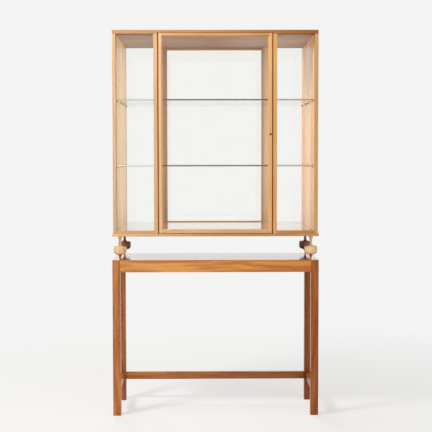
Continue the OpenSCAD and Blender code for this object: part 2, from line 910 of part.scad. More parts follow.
// Four glazing beads, mitred, with a bevel towards the glass
module door_beads() {
    out = rebate_w - joint_gap;
    color(case_wood) difference() {
        block([-sight_x - out, bead_y, sight_z0 - out], [sight_x + out, door_back, sight_z1 + out]);
        block([-sight_x, bead_y - over, sight_z0], [sight_x, door_back + over, sight_z1]);
        bead_bevel_cut();
        for (x = [-1, 1], z = [sight_z0, sight_z1])
            translate([x * sight_x, bead_y - over, z])
                rotate([0, x * (z == sight_z0 ? -1 : 1) * 45 + (x < 0 ? 180 : 0), 0])
                    translate([-over, 0, -joint_gap / 2])
                        cube([rebate_w * 2, door_t, joint_gap]);
    }
}

module bead_bevel_cut() {
    out = bead_bevel + over;
    intersection() {
        translate([0, 0, sight_z0 - rebate_w - over])
            linear_extrude(sight_z1 - sight_z0 + 2 * rebate_w + 2 * over)
                polygon([[-sight_x - out, door_back + over], [-sight_x, door_back - bead_bevel],
                         [sight_x, door_back - bead_bevel], [sight_x + out, door_back + over]]);
        translate([-door_x, 0, 0]) rotate([90, 0, 90]) linear_extrude(door_w)
            polygon([[door_back + over, sight_z0 - out], [door_back - bead_bevel, sight_z0],
                     [door_back - bead_bevel, sight_z1], [door_back + over, sight_z1 + out]]);
    }
}

// Plate with a pin that the door turns on; the lower one has a collar under the bush
module pivot(top) {
    color(brass) at_pivot(top) difference() {
        union() {
            pivot_plate();
            translate([pivot_x, pivot_y, -plate_t / 2])
                cylinder(h = plate_t / 2 + door_play + pivot_l, d = pivot_d);
            if (!top) translate([pivot_x, pivot_y, -plate_t / 2])
                cylinder(h = plate_t / 2 + door_play - collar_gap, d = bush_d);
        }
        for (x = pivot_screw_xs) translate([x, pivot_y, 0]) plate_screw_hole();
    }
}

module pivot_screws() {
    color(brass) for (top = [false, true], x = pivot_screw_xs)
        at_pivot(top) translate([x, pivot_y, 0]) plate_screw();
}

module bush(top) {
    color(brass) at_bush(top) difference() {
        cylinder(h = bush_l, d = bush_d);
        translate([0, 0, -over]) cylinder(h = bush_l + 2 * over, d = pivot_d + 2 * pivot_gap);
    }
}

// Disc at the keyhole, half its thickness proud of the door
module escutcheon_disc(gap = 0) {
    translate([keyhole_x, door_front + escutcheon_t / 2 + gap, keyhole_z]) rotate([90, 0, 0])
        cylinder(h = escutcheon_t + gap, d = escutcheon_d + 2 * gap);
}

// Keyhole from before the door to a given depth
module keyhole(to_y, gap = 0) {
    from_y = door_front - escutcheon_t;
    translate([keyhole_x, to_y, keyhole_z]) rotate([90, 0, 0]) linear_extrude(to_y - from_y) {
        circle(d = keyhole_d + 2 * gap);
        translate([-keyhole_slot / 2 - gap, -keyhole_drop - gap])
            square([keyhole_slot + 2 * gap, keyhole_drop + gap]);
    }
}

module escutcheon() {
    color(dark_brass) difference() {
        escutcheon_disc();
        keyhole(lock_y);
    }
}

// Box of the lock's thickness behind a plane x = at: its depth and its height
module lock_box(at, l, h, gap, raised) {
    block([at - l - gap, lock_y - lock_t / 2 - gap, keyhole_z - h / 2 - gap],
          [at + raised, lock_y + lock_t / 2 + gap, keyhole_z + h / 2 + gap]);
}

// Lock case with its face plate, in the edge of the right stile, or raised for a cut
module lock_body(gap = 0, raised = 0) {
    lock_box(door_x, lock_l, lock_h, gap, raised);
    lock_box(door_x, lock_plate_t, lock_plate_h, gap, raised);
}

// Room for the bolt up to a given place on its way
module bolt_room(to_x) {
    block([bolt_x0 - bolt_gap, lock_y - bolt_t / 2 - bolt_gap, keyhole_z - bolt_h / 2 - bolt_gap],
          [to_x, lock_y + bolt_t / 2 + bolt_gap, keyhole_z + bolt_h / 2 + bolt_gap]);
}

module at_lock_screws() {
    for (z = [-lock_screw_up, lock_screw_up])
        translate([door_x, lock_y, keyhole_z + z]) rotate([0, 90, 0]) children();
}

module lock_case() {
    color(brass) difference() {
        lock_body();
        bolt_room(door_x + over);
        keyhole(lock_y);
        at_lock_screws() plate_screw_hole();
    }
}

module lock_screws() {
    color(brass) at_lock_screws() plate_screw();
}

// Bolt, drawn back; its notch takes the key
module lock_bolt() {
    color(dark_brass) difference() {
        block([bolt_x0, lock_y - bolt_t / 2, keyhole_z - bolt_h / 2],
              [bolt_x0 + bolt_l, lock_y + bolt_t / 2, keyhole_z + bolt_h / 2]);
        keyhole(lock_y);
    }
}

// Plate let into the right mid post, or raised for a cut
module strike_body(gap = 0, raised = 0) {
    block([post_x - raised, lock_y - lock_t / 2 - gap, keyhole_z - lock_plate_h / 2 - gap],
          [post_x + lock_plate_t + gap, lock_y + lock_t / 2 + gap, keyhole_z + lock_plate_h / 2 + gap]);
}

module at_strike_screws() {
    for (z = [-lock_screw_up, lock_screw_up])
        translate([post_x, lock_y, keyhole_z + z]) rotate([0, -90, 0]) children();
}

module strike_plate() {
    color(brass) difference() {
        strike_body();
        bolt_room(post_x + lock_plate_t + over);
        at_strike_screws() plate_screw_hole();
    }
}

module strike_screws() {
    color(brass) at_strike_screws() plate_screw();
}

leg(-1, -1);  // leg_front_left
leg(1, -1);  // leg_front_right
leg(-1, 1);  // leg_back_left
leg(1, 1);  // leg_back_right
apron_long(-1);  // apron_front
apron_long(1);  // apron_back
apron_side(-1);  // apron_left
apron_side(1);  // apron_right
stretcher_back();
stretcher_side(-1);  // stretcher_left
stretcher_side(1);  // stretcher_right
stand_top();
corner_blocks();
foot(-1, -1);  // foot_front_left
foot(1, -1);  // foot_front_right
foot(-1, 1);  // foot_back_left
foot(1, 1);  // foot_back_right
base_board();
base_screws();
floor_board();
top_board();
side_panel(-1);  // side_panel_left
side_panel(1);  // side_panel_right
mid_post(-1);  // mid_post_left
mid_post(1);  // mid_post_right
side_glass(-1);  // side_glass_left
side_glass(1);  // side_glass_right
mirror_sheet();  // mirror
back_panel();
back_screws();
shelf(shelf_heights[0]);  // shelf_lower
shelf(shelf_heights[1]);  // shelf_upper
shelf_pins();
door_stile(-1);  // door_stile_left
door_stile(1);  // door_stile_right
door_rail(true);  // door_rail_top
door_rail(false);  // door_rail_bottom
door_glass();
door_beads();
pivot(false);  // pivot_bottom
pivot(true);  // pivot_top
pivot_screws();
bush(false);  // bush_bottom
bush(true);  // bush_top
escutcheon();
lock_case();
lock_bolt();
lock_screws();
strike_plate();
strike_screws();
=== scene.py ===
import math

import bmesh
import bpy
from bpy.props import FloatProperty, FloatVectorProperty, PointerProperty
from mathutils import Matrix, Vector


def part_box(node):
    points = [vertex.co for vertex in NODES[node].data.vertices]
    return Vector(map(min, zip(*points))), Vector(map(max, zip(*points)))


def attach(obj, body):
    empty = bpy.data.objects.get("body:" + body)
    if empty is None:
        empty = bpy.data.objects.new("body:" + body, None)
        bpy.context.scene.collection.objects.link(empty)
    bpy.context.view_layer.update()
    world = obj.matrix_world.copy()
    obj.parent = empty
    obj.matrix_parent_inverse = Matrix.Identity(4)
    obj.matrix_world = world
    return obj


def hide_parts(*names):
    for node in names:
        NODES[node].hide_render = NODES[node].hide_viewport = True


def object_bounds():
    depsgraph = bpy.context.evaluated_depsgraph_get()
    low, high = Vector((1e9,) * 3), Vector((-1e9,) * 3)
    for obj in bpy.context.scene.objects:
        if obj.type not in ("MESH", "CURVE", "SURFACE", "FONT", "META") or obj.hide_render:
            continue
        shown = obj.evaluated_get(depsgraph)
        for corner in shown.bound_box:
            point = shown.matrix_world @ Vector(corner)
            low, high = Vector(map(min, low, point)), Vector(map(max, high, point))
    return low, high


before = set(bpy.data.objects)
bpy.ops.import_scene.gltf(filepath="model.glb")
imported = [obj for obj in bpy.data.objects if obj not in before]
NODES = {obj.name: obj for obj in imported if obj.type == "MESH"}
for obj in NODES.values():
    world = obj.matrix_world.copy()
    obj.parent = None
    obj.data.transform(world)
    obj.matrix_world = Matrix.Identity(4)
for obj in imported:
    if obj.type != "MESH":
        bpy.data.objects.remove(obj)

bl_info = {
    "name": "Display cabinet on a stand",
    "version": (1, 0, 0),
    "blender": (4, 5, 0),
    "location": "View3D > Sidebar > Cabinet",
    "description": "Finishes for a glazed display cabinet, its turned feet and its stand",
    "category": "Object",
}

TINY = 1e-6
NEAR = 100 * TINY

# Boards by wood and by the axis that their grain follows
CASE_BOARDS = {
    "X": ("base_board", "floor_board", "top_board", "door_rail_top", "door_rail_bottom"),
    "Z": ("side_panel_left", "side_panel_right", "mid_post_left", "mid_post_right",
          "door_stile_left", "door_stile_right", "door_beads"),
}
STAND_BOARDS = {
    "X": ("apron_front", "apron_back", "stretcher_back", "stand_top"),
    "Y": ("apron_left", "apron_right", "stretcher_left", "stretcher_right"),
    "Z": ("leg_front_left", "leg_front_right", "leg_back_left", "leg_back_right"),
}
BACK_BOARDS = {"X": ("back_panel", "corner_blocks")}
# How each board departs from its wood's mean colour, over all of it, or at points from left to right:
# partly the wood's own tone and partly painted light and shade, with the boards to the right and the back
# legs painted darker as painted shade
PLAIN = (1.0, 1.0, 1.0)
BOARD_TONE_AND_SHADE = {
    "side_panel_left": [(0.84, 0.9, 0.99)],
    "side_panel_right": [(0.78, 0.67, 0.41)],
    "mid_post_left": [(0.87, 0.89, 0.95)],
    "mid_post_right": [(0.96, 0.77, 0.52)],
    "door_stile_left": [(1.05, 1.07, 1.09)],
    "door_stile_right": [(0.98, 0.9, 0.71)],
    "door_rail_top": [(0.92, 0.84, 0.77), (0.76, 0.54, 0.26)],
    "door_rail_bottom": [(0.96, 0.96, 0.99), (0.88, 0.82, 0.76)],
    "top_board": [(0.62, 0.58, 0.58), (0.61, 0.52, 0.46), (0.40, 0.23, 0.07)],
    "floor_board": [(0.9, 0.88, 0.76), (0.64, 0.45, 0.18)],
    "base_board": [(1.03, 1.03, 1.0), (0.66, 0.58, 0.46), (0.71, 0.54, 0.37)],
    "apron_front": [(1.24, 1.38, 1.28), (1.25, 1.28, 1.0), (1.16, 1.03, 0.60)],
    "apron_back": [(0.9, 0.8, 0.7)],
    "leg_front_left": [(0.92, 0.83, 0.75)],
    "leg_front_right": [(0.63, 0.44, 0.23)],
    "leg_back_left": [(0.62, 0.56, 0.65)],
    "leg_back_right": [(0.52, 0.35, 0.16)],
    "stretcher_back": [(0.83, 0.71, 0.65), (0.68, 0.54, 0.42)],
    "stretcher_left": [(0.8, 0.66, 0.5)],
    "stretcher_right": [(0.55, 0.40, 0.28)],
    "apron_left": [(1.0, 0.9, 0.7)],
    "apron_right": [(0.7, 0.52, 0.34)],
    # The back feet are painted near black-brown: painted shade of the case above them
    "foot_back_left": [(0.30, 0.20, 0.13)],
    "foot_back_right": [(0.27, 0.17, 0.11)],
}
# Boards whose finish departs from the rest of their wood
BOARD_FINISH = {
    "floor_board": {"roughness": 0.22, "coat": 1.0},
    "top_board": {"roughness": 0.55, "specular": 0.25, "streaks": 26.0},
    "side_panel_right": {"roughness": 0.34},
    "stand_top": {"roughness": 0.18, "coat": 0.6, "specular": 0.5},
}


def room(x, y, z):
    """Lowest and highest point of a room from its three spans."""
    return tuple(zip(x, y, z))


# Planes from the frame; a room reaches a hair into what bounds it
HAIR = 0.0005
CONE_REACH = 0.021
ALL_X, ALL_Y, ALL_Z = [(low - HAIR, high + HAIR) for low, high in zip(*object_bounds())]
PANEL_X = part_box("side_panel_right")[0].x + HAIR
INNER_X = (-PANEL_X, PANEL_X)
INNER_Z = (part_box("floor_board")[1].z - HAIR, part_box("top_board")[0].z + HAIR)
PANE_FRONT, PANE_BACK = [corner.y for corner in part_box("side_glass_left")]
BOARD_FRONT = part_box("side_panel_left")[0].y + HAIR
SHELF_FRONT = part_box("shelf_lower")[0].y + HAIR
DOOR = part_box("door_stile_right")[1]
# Inside the case, and the rebate before its panes; the left panel's are parted at the shelves' front
INSIDE = room(INNER_X, (PANE_BACK, ALL_Y[1]), INNER_Z)
REBATE = room(INNER_X, (BOARD_FRONT, PANE_FRONT), INNER_Z)
LEFT_ROOM = room(INNER_X, (SHELF_FRONT, ALL_Y[1]), INNER_Z)
LEFT_REBATE = room(INNER_X, (BOARD_FRONT, SHELF_FRONT), INNER_Z)
# Above the top board, the feet's cones, and behind the door and its posts
ABOVE = room(ALL_X, ALL_Y, (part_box("top_board")[1].z - 2 * HAIR, ALL_Z[1]))
CONES = room(ALL_X, ALL_Y, (ALL_Z[0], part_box("stand_top")[1].z + CONE_REACH))
DOOR_BACK = room(ALL_X, (DOOR.y - 2 * HAIR, ALL_Y[1]), ALL_Z)
POST_BACK = room(ALL_X, (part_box("mid_post_left")[1].y - 3 * HAIR, ALL_Y[1]), ALL_Z)
# Painted shade in the gaps at the left and right of the door, reaching onto a strip at the edge of the
# door's front
DOOR_GAP, BEHIND_DOOR = 0.003, 0.0055
SHADED_EDGE_LEFT, SHADED_EDGE_RIGHT = 0.0027, 0.0021
POST_X = DOOR.x + DOOR_GAP + HAIR
GAP_Y = (ALL_Y[0], DOOR.y + BEHIND_DOOR)
GAP_Z = (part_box("base_board")[1].z, DOOR.z + HAIR)
GAP_LEFT = room((-POST_X, SHADED_EDGE_LEFT - DOOR.x), GAP_Y, GAP_Z)
GAP_RIGHT = room((DOOR.x - SHADED_EDGE_RIGHT, POST_X), GAP_Y, GAP_Z)
# Painted light, shade and reflection: tones that make the faces within a room lighter, darker or whiter
# than the board's front; the first three below are painted shade in the rebates, on the backs of the door
# and in the gaps beside it
# Painted shade in the rebates in front of the panes
REBATE_SHADE = [(0.70, 0.62, 0.55)]
BACK_SHADE = [(0.56, 0.48, 0.44)]
GAP_SHADE = [(0.60, 0.45, 0.24)]
ROOM_LIGHT_AND_SHADE = {
    # The side panels' inner faces are painted paler as painted light and reflection; the left one's front
    # strip, up to the shelves' front, takes painted shade
    "side_panel_left": [(LEFT_ROOM, [(1.43, 1.56, 1.31)]), (LEFT_REBATE, REBATE_SHADE)],
    "side_panel_right": [(INSIDE, [(1.43, 1.67, 2.3)])],
    # Top board: its underside within the case is painted paler as painted light and reflection, its rebate
    # takes painted shade, and its upper face is painted lighter to take back most of the painted shade on
    # its right
    "top_board": [(INSIDE, [(0.95, 1.18, 1.72), (0.76, 0.60, 0.29), (1.45, 2.48, 5.79)]), (REBATE, REBATE_SHADE),
                  (ABOVE, [(1.0, 1.0, 1.0), (1.25, 1.3, 1.35), (1.7, 2.1, 2.7)])],
    # The front feet's cones are painted darker: painted shade under their discs
    "foot_front_left": [(CONES, [(0.50, 0.34, 0.22)])],
    "foot_front_right": [(CONES, [(0.50, 0.34, 0.22)])],
    # Backs of the posts and the door: painted shade, with painted reflection on the right ones; the gaps
    # beside the door take painted shade
    "mid_post_left": [(POST_BACK, [(0.70, 0.61, 0.48)]), (GAP_LEFT, GAP_SHADE)],
    "mid_post_right": [(POST_BACK, [(0.85, 1.28, 2.2)]), (GAP_RIGHT, GAP_SHADE)],
    "door_stile_left": [(DOOR_BACK, BACK_SHADE), (GAP_LEFT, GAP_SHADE)],
    "door_stile_right": [(DOOR_BACK, [(0.75, 0.97, 1.15)]), (GAP_RIGHT, GAP_SHADE)],
    "door_rail_top": [(DOOR_BACK, BACK_SHADE)],
    "door_rail_bottom": [(DOOR_BACK, BACK_SHADE)],
    "door_beads": [(DOOR_BACK, BACK_SHADE)],
}
FEET = ("foot_front_left", "foot_front_right", "foot_back_left", "foot_back_right")
PANES = ("side_glass_left", "side_glass_right", "door_glass")
SHELVES = ("shelf_lower", "shelf_upper")
BRASS_NODES = ("pivot_bottom", "pivot_top", "bush_bottom", "bush_top", "lock_case", "strike_plate")
DARK_BRASS_NODES = ("escutcheon", "lock_bolt")
# Countersunk screws: the body they ride on, their material slot and the width of their shank
SCREWS = {
    "base_screws": ("cabinet", "screw_steel", 0.0025),
    "back_screws": ("cabinet", "screw_steel", 0.0025),
    "pivot_screws": ("cabinet", "brass", 0.002),
    "strike_screws": ("cabinet", "brass", 0.002),
    "lock_screws": ("door", "brass", 0.002),
}

# Finishes of the stand and the back, and the seeds that place each group of boards in the tree
STAND_FINISH = {"figure": 0.95, "pores": 0.6, "specular": 0.25, "streaks": 80.0}
BACK_FINISH = {"roughness": 0.6, "pores": 0.8}
CASE_SEED, STAND_SEED, BACK_SEED, FOOT_SEED = 1, 20, 40, 50
# Along each axis: how far a seed moves a board, the room that it stays in and where that room starts
SEED_SHIFTS = ((0.137, 0.5, 0.06), (0.071, 0.31, 0.05), (0.53, 3.0, 0.0))
# Roughness and tarnish of each metal
METAL_FINISH = {
    "Brass": (0.28, 0.35),
    "Dark brass": (0.45, 0.6),
    "Screw steel": (0.35, 0.3),
    "Pin brass": (0.3, 0.6),
}
WHITE = (1.0, 1.0, 1.0)
BLACK = (0.0, 0.0, 0.0)
# Lamps: place, target, width and colour
LAMPS = {
    "key": ((-1.5, -1.2, 2.55), (0.0, 0.0, 1.0), 0.5, (1.0, 0.985, 0.96)),
    "fill": ((2.9, -4.0, 2.1), (0.0, 0.0, 1.1), 4.8, WHITE),
    "rear": ((-1.2, 4.2, 3.0), (0.0, 0.0, 0.9), 2.4, WHITE),
}
FLOOR_REACH = 30.0
SENSOR_WIDTH = 36.0
CLIP_END = 100.0

# Grain: its drift to the sides, how far its rings and fibres are drawn out along the board, and the
# shares, tones and roughness of what adds up to its figure
NOISE_MEAN = (0.5, 0.5, 0.5)
GRAIN_DRIFT = (0.05, 0.05, 0.0)
RING_DRAW = (1.0, 1.0, 0.045)
FIBRE_DRAW = (1.0, 1.0, 0.018)
LATE_POWER = 1.8
RING_SHARE, STREAK_SHARE, FIBRE_SHARE, PORE_SHARE, END_SHARE = 0.35, 0.65, 0.25, 0.5, 0.55
PORE_TONE = (0.45, 0.30, 0.20)
END_TONE = (0.62, 0.52, 0.44)
FIBRE_ROUGHNESS, END_ROUGHNESS = 0.10, 0.12
FIBRE_HEIGHT, GRAIN_DEPTH = 0.4, 0.00004
LEVEL_FACE = 0.95
# Metal and mirror
TARNISH_TONE = (0.45, 0.36, 0.28)
TARNISH_ROUGHNESS = 0.35
BRUSH_DEPTH = 0.00002
HAZE_SHARE = 0.985
HAZE_ROUGHNESS = 0.004
# What a shader group of a wood or a metal puts out
SURFACE = {"Color": "Color", "Roughness": "Float", "Height": "Float"}
# Places of a node's sockets that share their names with others
MIX_COLOUR_INPUTS = (0, 6, 7)
MIX_COLOUR_OUTPUT = 2
RANDOM_RANGE_INPUTS = (2, 3)
RANDOM_FLOAT_OUTPUT = 1
# Shapes: the lathe's core and sides, and the steps of its curves
LATHE_CORE = 0.0002
LATHE_SIDES = 32
FOOT_SIDES = 96
CURVE_STEPS = 14
EDGE_STEPS = 12
DOME_STEPS = 8
SCREW_TAPER = 0.7
SLOT_REACH = 1.2
SHARP = math.radians(40)

# Turns that lay the grain of a board, which runs along Z in the pattern, along another axis
GRAIN_TURN = {"X": (0.0, math.pi / 2, 0.0), "Y": (math.pi / 2, 0.0, 0.0), "Z": (0.0, 0.0, 0.0)}


# Properties

def colour(name, description, default):
    return FloatVectorProperty(
        name=name, description=description, subtype="COLOR", size=3, min=0.0, max=1.0, default=default
    )


def length(name, description, default, low=0.0, high=10.0):
    return FloatProperty(
        name=name, description=description, unit="LENGTH", subtype="DISTANCE",
        min=low, max=high, precision=4, default=default,
    )


def factor(name, description, default):
    return FloatProperty(
        name=name, description=description, subtype="FACTOR", min=0.0, max=1.0, default=default
    )


def amount(name, description, default, low=0.0, high=1000.0, unit="NONE"):
    return FloatProperty(name=name, description=description, unit=unit, min=low, max=high, default=default)


def rotation(name, description, default):
    return FloatProperty(name=name, description=description, subtype="ANGLE", default=default)


class CabinetWoods(bpy.types.PropertyGroup):
    """Colours and figure of the woods"""

    case_light: colour("Case, light", "Early wood of the case's boards", (0.80, 0.50, 0.26))
    case_dark: colour("Case, dark", "Late wood of the case's boards", (0.62, 0.34, 0.145))
    stand_light: colour("Stand, light", "Early wood of the stand", (0.66, 0.29, 0.095))
    stand_dark: colour("Stand, dark", "Late wood of the stand", (0.36, 0.115, 0.034))
    foot_light: colour("Feet, light", "Early wood of the turned feet", (0.86, 0.60, 0.34))
    foot_dark: colour("Feet, dark", "Late wood of the turned feet", (0.66, 0.38, 0.17))
    mirror_glow: colour("Back, light", "Early wood of the back panel", (0.60, 0.42, 0.25))
    back_dark: colour("Back, dark", "Late wood of the back panel", (0.46, 0.30, 0.16))
    case_rough: factor("Case roughness", "Roughness of the case's satin varnish", 0.38)
    stand_rough: factor("Stand roughness", "Roughness of the stand's varnish", 0.30)
    foot_rough: factor("Feet roughness", "Roughness of the turned feet's varnish", 0.36)
    coat_rough: factor("Coat roughness", "Roughness of the clear coat over the wood", 0.06)
    half_width: length("Half width", "Distance from the middle to the ends of the long boards", 0.41)
    ring_gap: length("Ring spacing", "Distance between two rings of the wood", 0.006, 0.001, 0.05)


class CabinetGlass(bpy.types.PropertyGroup):
    """Glass and mirror"""

    pane_tint: colour("Pane tint", "Colour of the window glass", (0.985, 0.995, 0.99))
    shelf_tint: colour("Shelf tint", "Colour of the shelves seen through their faces", (0.97, 0.99, 0.98))
    edge_tint: colour("Shelf edge", "Colour of the shelves' edges amid the case", (0.35, 0.51, 0.43))
    # Painted reflection: near each side panel the shelves' edges take that panel's wood colour
    edge_reflect_left: colour("Shelf edge, left", "Colour of the edges near the left panel", (1.0, 0.95, 0.74))
    edge_reflect_right: colour("Shelf edge, right", "Colour of the edges near the right panel", (0.76, 0.60, 0.40))
    edge_mid: length("Edge amid", "Half width over which the edge keeps its own colour", 0.22)
    edge_far: length("Edge ends", "Distance from the middle at which the edge shows the side panels", 0.26)
    # Painted glow: strength of the emission that the shelves' edges give out at their ends
    edge_glow: factor("Painted edge glow", "Light that the shelves' edges send out at their ends", 0.12)
    mirror_tint: colour("Mirror tint", "Colour of the silvering", (0.925, 0.913, 0.908))
    # Painted glow: strength of the emission that diffuse rays see in the mirror, in place of the studio
    # light it would reflect
    glow_strength: amount("Painted mirror glow", "Studio light that the mirror sends back", 1.6)
    glass_ior: amount("Glass index", "Index of refraction of the glass", 1.5, 1.0, 2.0)


class CabinetMetals(bpy.types.PropertyGroup):
    """Brass and steel fittings"""

    brass: colour("Brass", "Colour of the pins, plates and lock", (0.70, 0.48, 0.19))
    # Near black: the keyhole plate and bolt are dark aged brass, darkened further as painted shade of the
    # keyhole and of the gap that the bolt crosses
    dark_brass: colour("Dark brass", "Colour of the aged keyhole plate and bolt", (0.012, 0.006, 0.003))
    steel: colour("Steel", "Colour of the wood screws", (0.55, 0.55, 0.56))
    pin_dome: length("Pin dome", "Rise of a shelf pin's rounded tip", 0.0012, 0.0, 0.003)
    head_rim: length("Screw rim", "Height of a screw head's upright rim", 0.0002, 0.0, 0.001)
    slot_share: factor("Screw slot", "Width of a screw's slot as a share of its head", 0.16)


class CabinetFeet(bpy.types.PropertyGroup):
    """Sizes of the turned feet"""

    point_d: length("Point", "Width of the point that a foot stands on", 0.005)
    cone_d: length("Cone", "Width of the hollow cone under the disc", 0.0195)
    cone_h: length("Cone height", "Height of the hollow cone", 0.0206)
    disc_h: length("Disc height", "Height of the disc", 0.034)
    disc_top_r: length("Disc upper edge", "Radius of the disc's upper edge", 0.006)
    disc_under_r: length("Disc lower edge", "Radius of the disc's lower edge", 0.013)
    neck_d: length("Neck waist", "Width of the neck at its waist", 0.0105)
    neck_fillet: length("Neck fillet", "Radius between the neck's waist and the disc", 0.011)
    neck_high_d: length("Neck, high", "Width of the neck under the case", 0.018)


class CabinetStudio(bpy.types.PropertyGroup):
    """Camera, lamps and floor"""

    backdrop: colour("Backdrop", "Colour of the background", (0.902, 0.902, 0.898))
    reflected: colour("Backdrop in glass", "Colour of the background in glass and gloss", (1.0, 1.0, 0.985))
    floor_tone: colour("Floor", "Colour of the floor", (0.945, 0.925, 0.905))
    floor_wash: factor("Floor wash", "Share of the backdrop's own tone in the floor near the object", 0.64)
    wash_near: length("Wash starts", "Distance at which the floor starts to turn into the backdrop", 0.5)
    wash_far: length("Wash ends", "Distance at which the floor has the backdrop's tone", 2.4)
    key_power: amount("Key", "Power of the key lamp", 50.0, unit="POWER")
    fill_power: amount("Fill", "Power of the fill lamp", 116.0, unit="POWER")
    rear_power: amount("Rear", "Power of the rear lamp", 120.0, unit="POWER")
    ambient: amount("Ambient", "Strength of the even light", 0.2)
    camera_x: length("Camera X", "Camera's place to the side", -0.0385, -10.0, 10.0)
    camera_y: length("Camera Y", "Camera's place before the object", -4.5465, -20.0, 20.0)
    camera_z: length("Camera Z", "Camera's height", 1.0782, 0.0, 10.0)
    camera_pan: rotation("Pan", "Camera's turn about the vertical", -0.0092)
    camera_tilt: rotation("Tilt", "Camera's tilt from the level", -0.05674)
    camera_roll: rotation("Roll", "Camera's turn about its own axis", -0.0015)
    focal: amount("Focal length", "Focal length on a 36 mm sensor", 89.22, 1.0, unit="CAMERA")


# Node helpers

def feed(value, socket):
    """Links a node's output to an input, or sets the input to a value or a colour."""
    if isinstance(value, bpy.types.NodeSocket):
        socket.id_data.links.new(value, socket)
    elif socket.type == "RGBA":
        socket.default_value = (*value[:3], 1.0)
    else:
        socket.default_value = value


def put(node, **inputs):
    """Feeds inputs of a node by name; an underscore stands for a space."""
    for name, value in inputs.items():
        feed(value, node.inputs[name.replace("_", " ")])
    return node


def add(tree, kind, **values):
    """A new node; names in small letters are its settings and the others its inputs."""
    node = tree.nodes.new(kind)
    for name, value in values.items():
        if name.islower():
            setattr(node, name, value)
        else:
            put(node, **{name: value})
    return node


def feed_in_turn(node, values):
    """Feeds the first inputs of a node."""
    for value, socket in zip(values, node.inputs):
        feed(value, socket)
    return node


def math_node(tree, operation, *values, clamp=False):
    node = add(tree, "ShaderNodeMath", operation=operation, use_clamp=clamp)
    return feed_in_turn(node, values).outputs[0]


def plus(tree, a, b, clamp=False):
    return math_node(tree, "ADD", a, b, clamp=clamp)


def minus(tree, a, b):
    return math_node(tree, "SUBTRACT", a, b)


def times(tree, a, b):
    return math_node(tree, "MULTIPLY", a, b)


def vector_math(tree, operation, *values):
    node = feed_in_turn(add(tree, "ShaderNodeVectorMath", operation=operation), values)
    return node.outputs["Value" if operation == "LENGTH" else "Vector"]


def split(tree, vector):
    """Outputs X, Y and Z of a vector."""
    return add(tree, "ShaderNodeSeparateXYZ", Vector=vector).outputs


def join(tree, **parts):
    """A vector of X, Y and Z, where what is left out is 0."""
    return add(tree, "ShaderNodeCombineXYZ", **parts).outputs[0]


def noise(tree, vector, **inputs):
    """Outputs of a noise texture, its value first."""
    return add(tree, "ShaderNodeTexNoise", Vector=vector, **inputs).outputs


def map_range(tree, value, low, high, to_low=0.0, to_high=1.0):
    node = add(tree, "ShaderNodeMapRange", clamp=True, Value=value, From_Min=low, From_Max=high,
               To_Min=to_low, To_Max=to_high)
    return node.outputs["Result"]


def mix_colour(tree, share, a, b, blend="MIX"):
    node = add(tree, "ShaderNodeMix", data_type="RGBA", blend_type=blend)
    for index, value in zip(MIX_COLOUR_INPUTS, (share, a, b)):
        feed(value, node.inputs[index])
    return node.outputs[MIX_COLOUR_OUTPUT]


def mix_shaders(tree, share, first, second):
    node = add(tree, "ShaderNodeMixShader")
    return feed_in_turn(node, (share, first.outputs[0], second.outputs[0]))


def by_ray(tree, ray, shader, other):
    """Shows the other shader to one kind of ray of the light path."""
    return mix_shaders(tree, add(tree, "ShaderNodeLightPath").outputs[ray], shader, other)


def new_socket(tree, way, name, given):
    """A socket of a group; what is given is its kind, or its default number or colour."""
    kind = given
    if not isinstance(given, str):
        kind = "Color" if isinstance(given, tuple) else "Float"
    socket = tree.interface.new_socket(name=name, in_out=way, socket_type=f"NodeSocket{kind}")
    if kind is not given:
        socket.default_value = given


def new_group(name, inputs, outputs, kind="ShaderNodeTree"):
    """A node group with its sockets by name, the outputs of its inlet and the inputs of its outlet."""
    tree = bpy.data.node_groups.new(name, kind)
    for way, sockets in (("INPUT", inputs), ("OUTPUT", outputs)):
        for label, given in sockets.items():
            new_socket(tree, way, label, given)
    return tree, add(tree, "NodeGroupInput").outputs, add(tree, "NodeGroupOutput").inputs


def made_once(name):
    """Makes a node group at its first use, and finds it by its name at the others."""
    def wrap(make):
        return lambda: bpy.data.node_groups.get(name) or make(name)
    return wrap


def use_group(tree, group, **inputs):
    node = add(tree, "ShaderNodeGroup", node_tree=group)
    return put(node, **inputs)


@made_once("Within a room")
def room_group(name):
    """A mask that is 1 within an upright box."""
    corners = dict.fromkeys(("Vector", "Low", "High"), "Vector")
    tree, given, out = new_group(name, corners, {"Mask": "Float"})
    above = vector_math(tree, "SUBTRACT", given["Vector"], given["Low"])
    below = vector_math(tree, "SUBTRACT", given["High"], given["Vector"])
    depth = split(tree, vector_math(tree, "MINIMUM", above, below))
    least = math_node(tree, "MINIMUM", depth["X"], depth["Y"])
    least = math_node(tree, "MINIMUM", least, depth["Z"])
    feed(math_node(tree, "GREATER_THAN", least, 0.0), out["Mask"])
    return tree


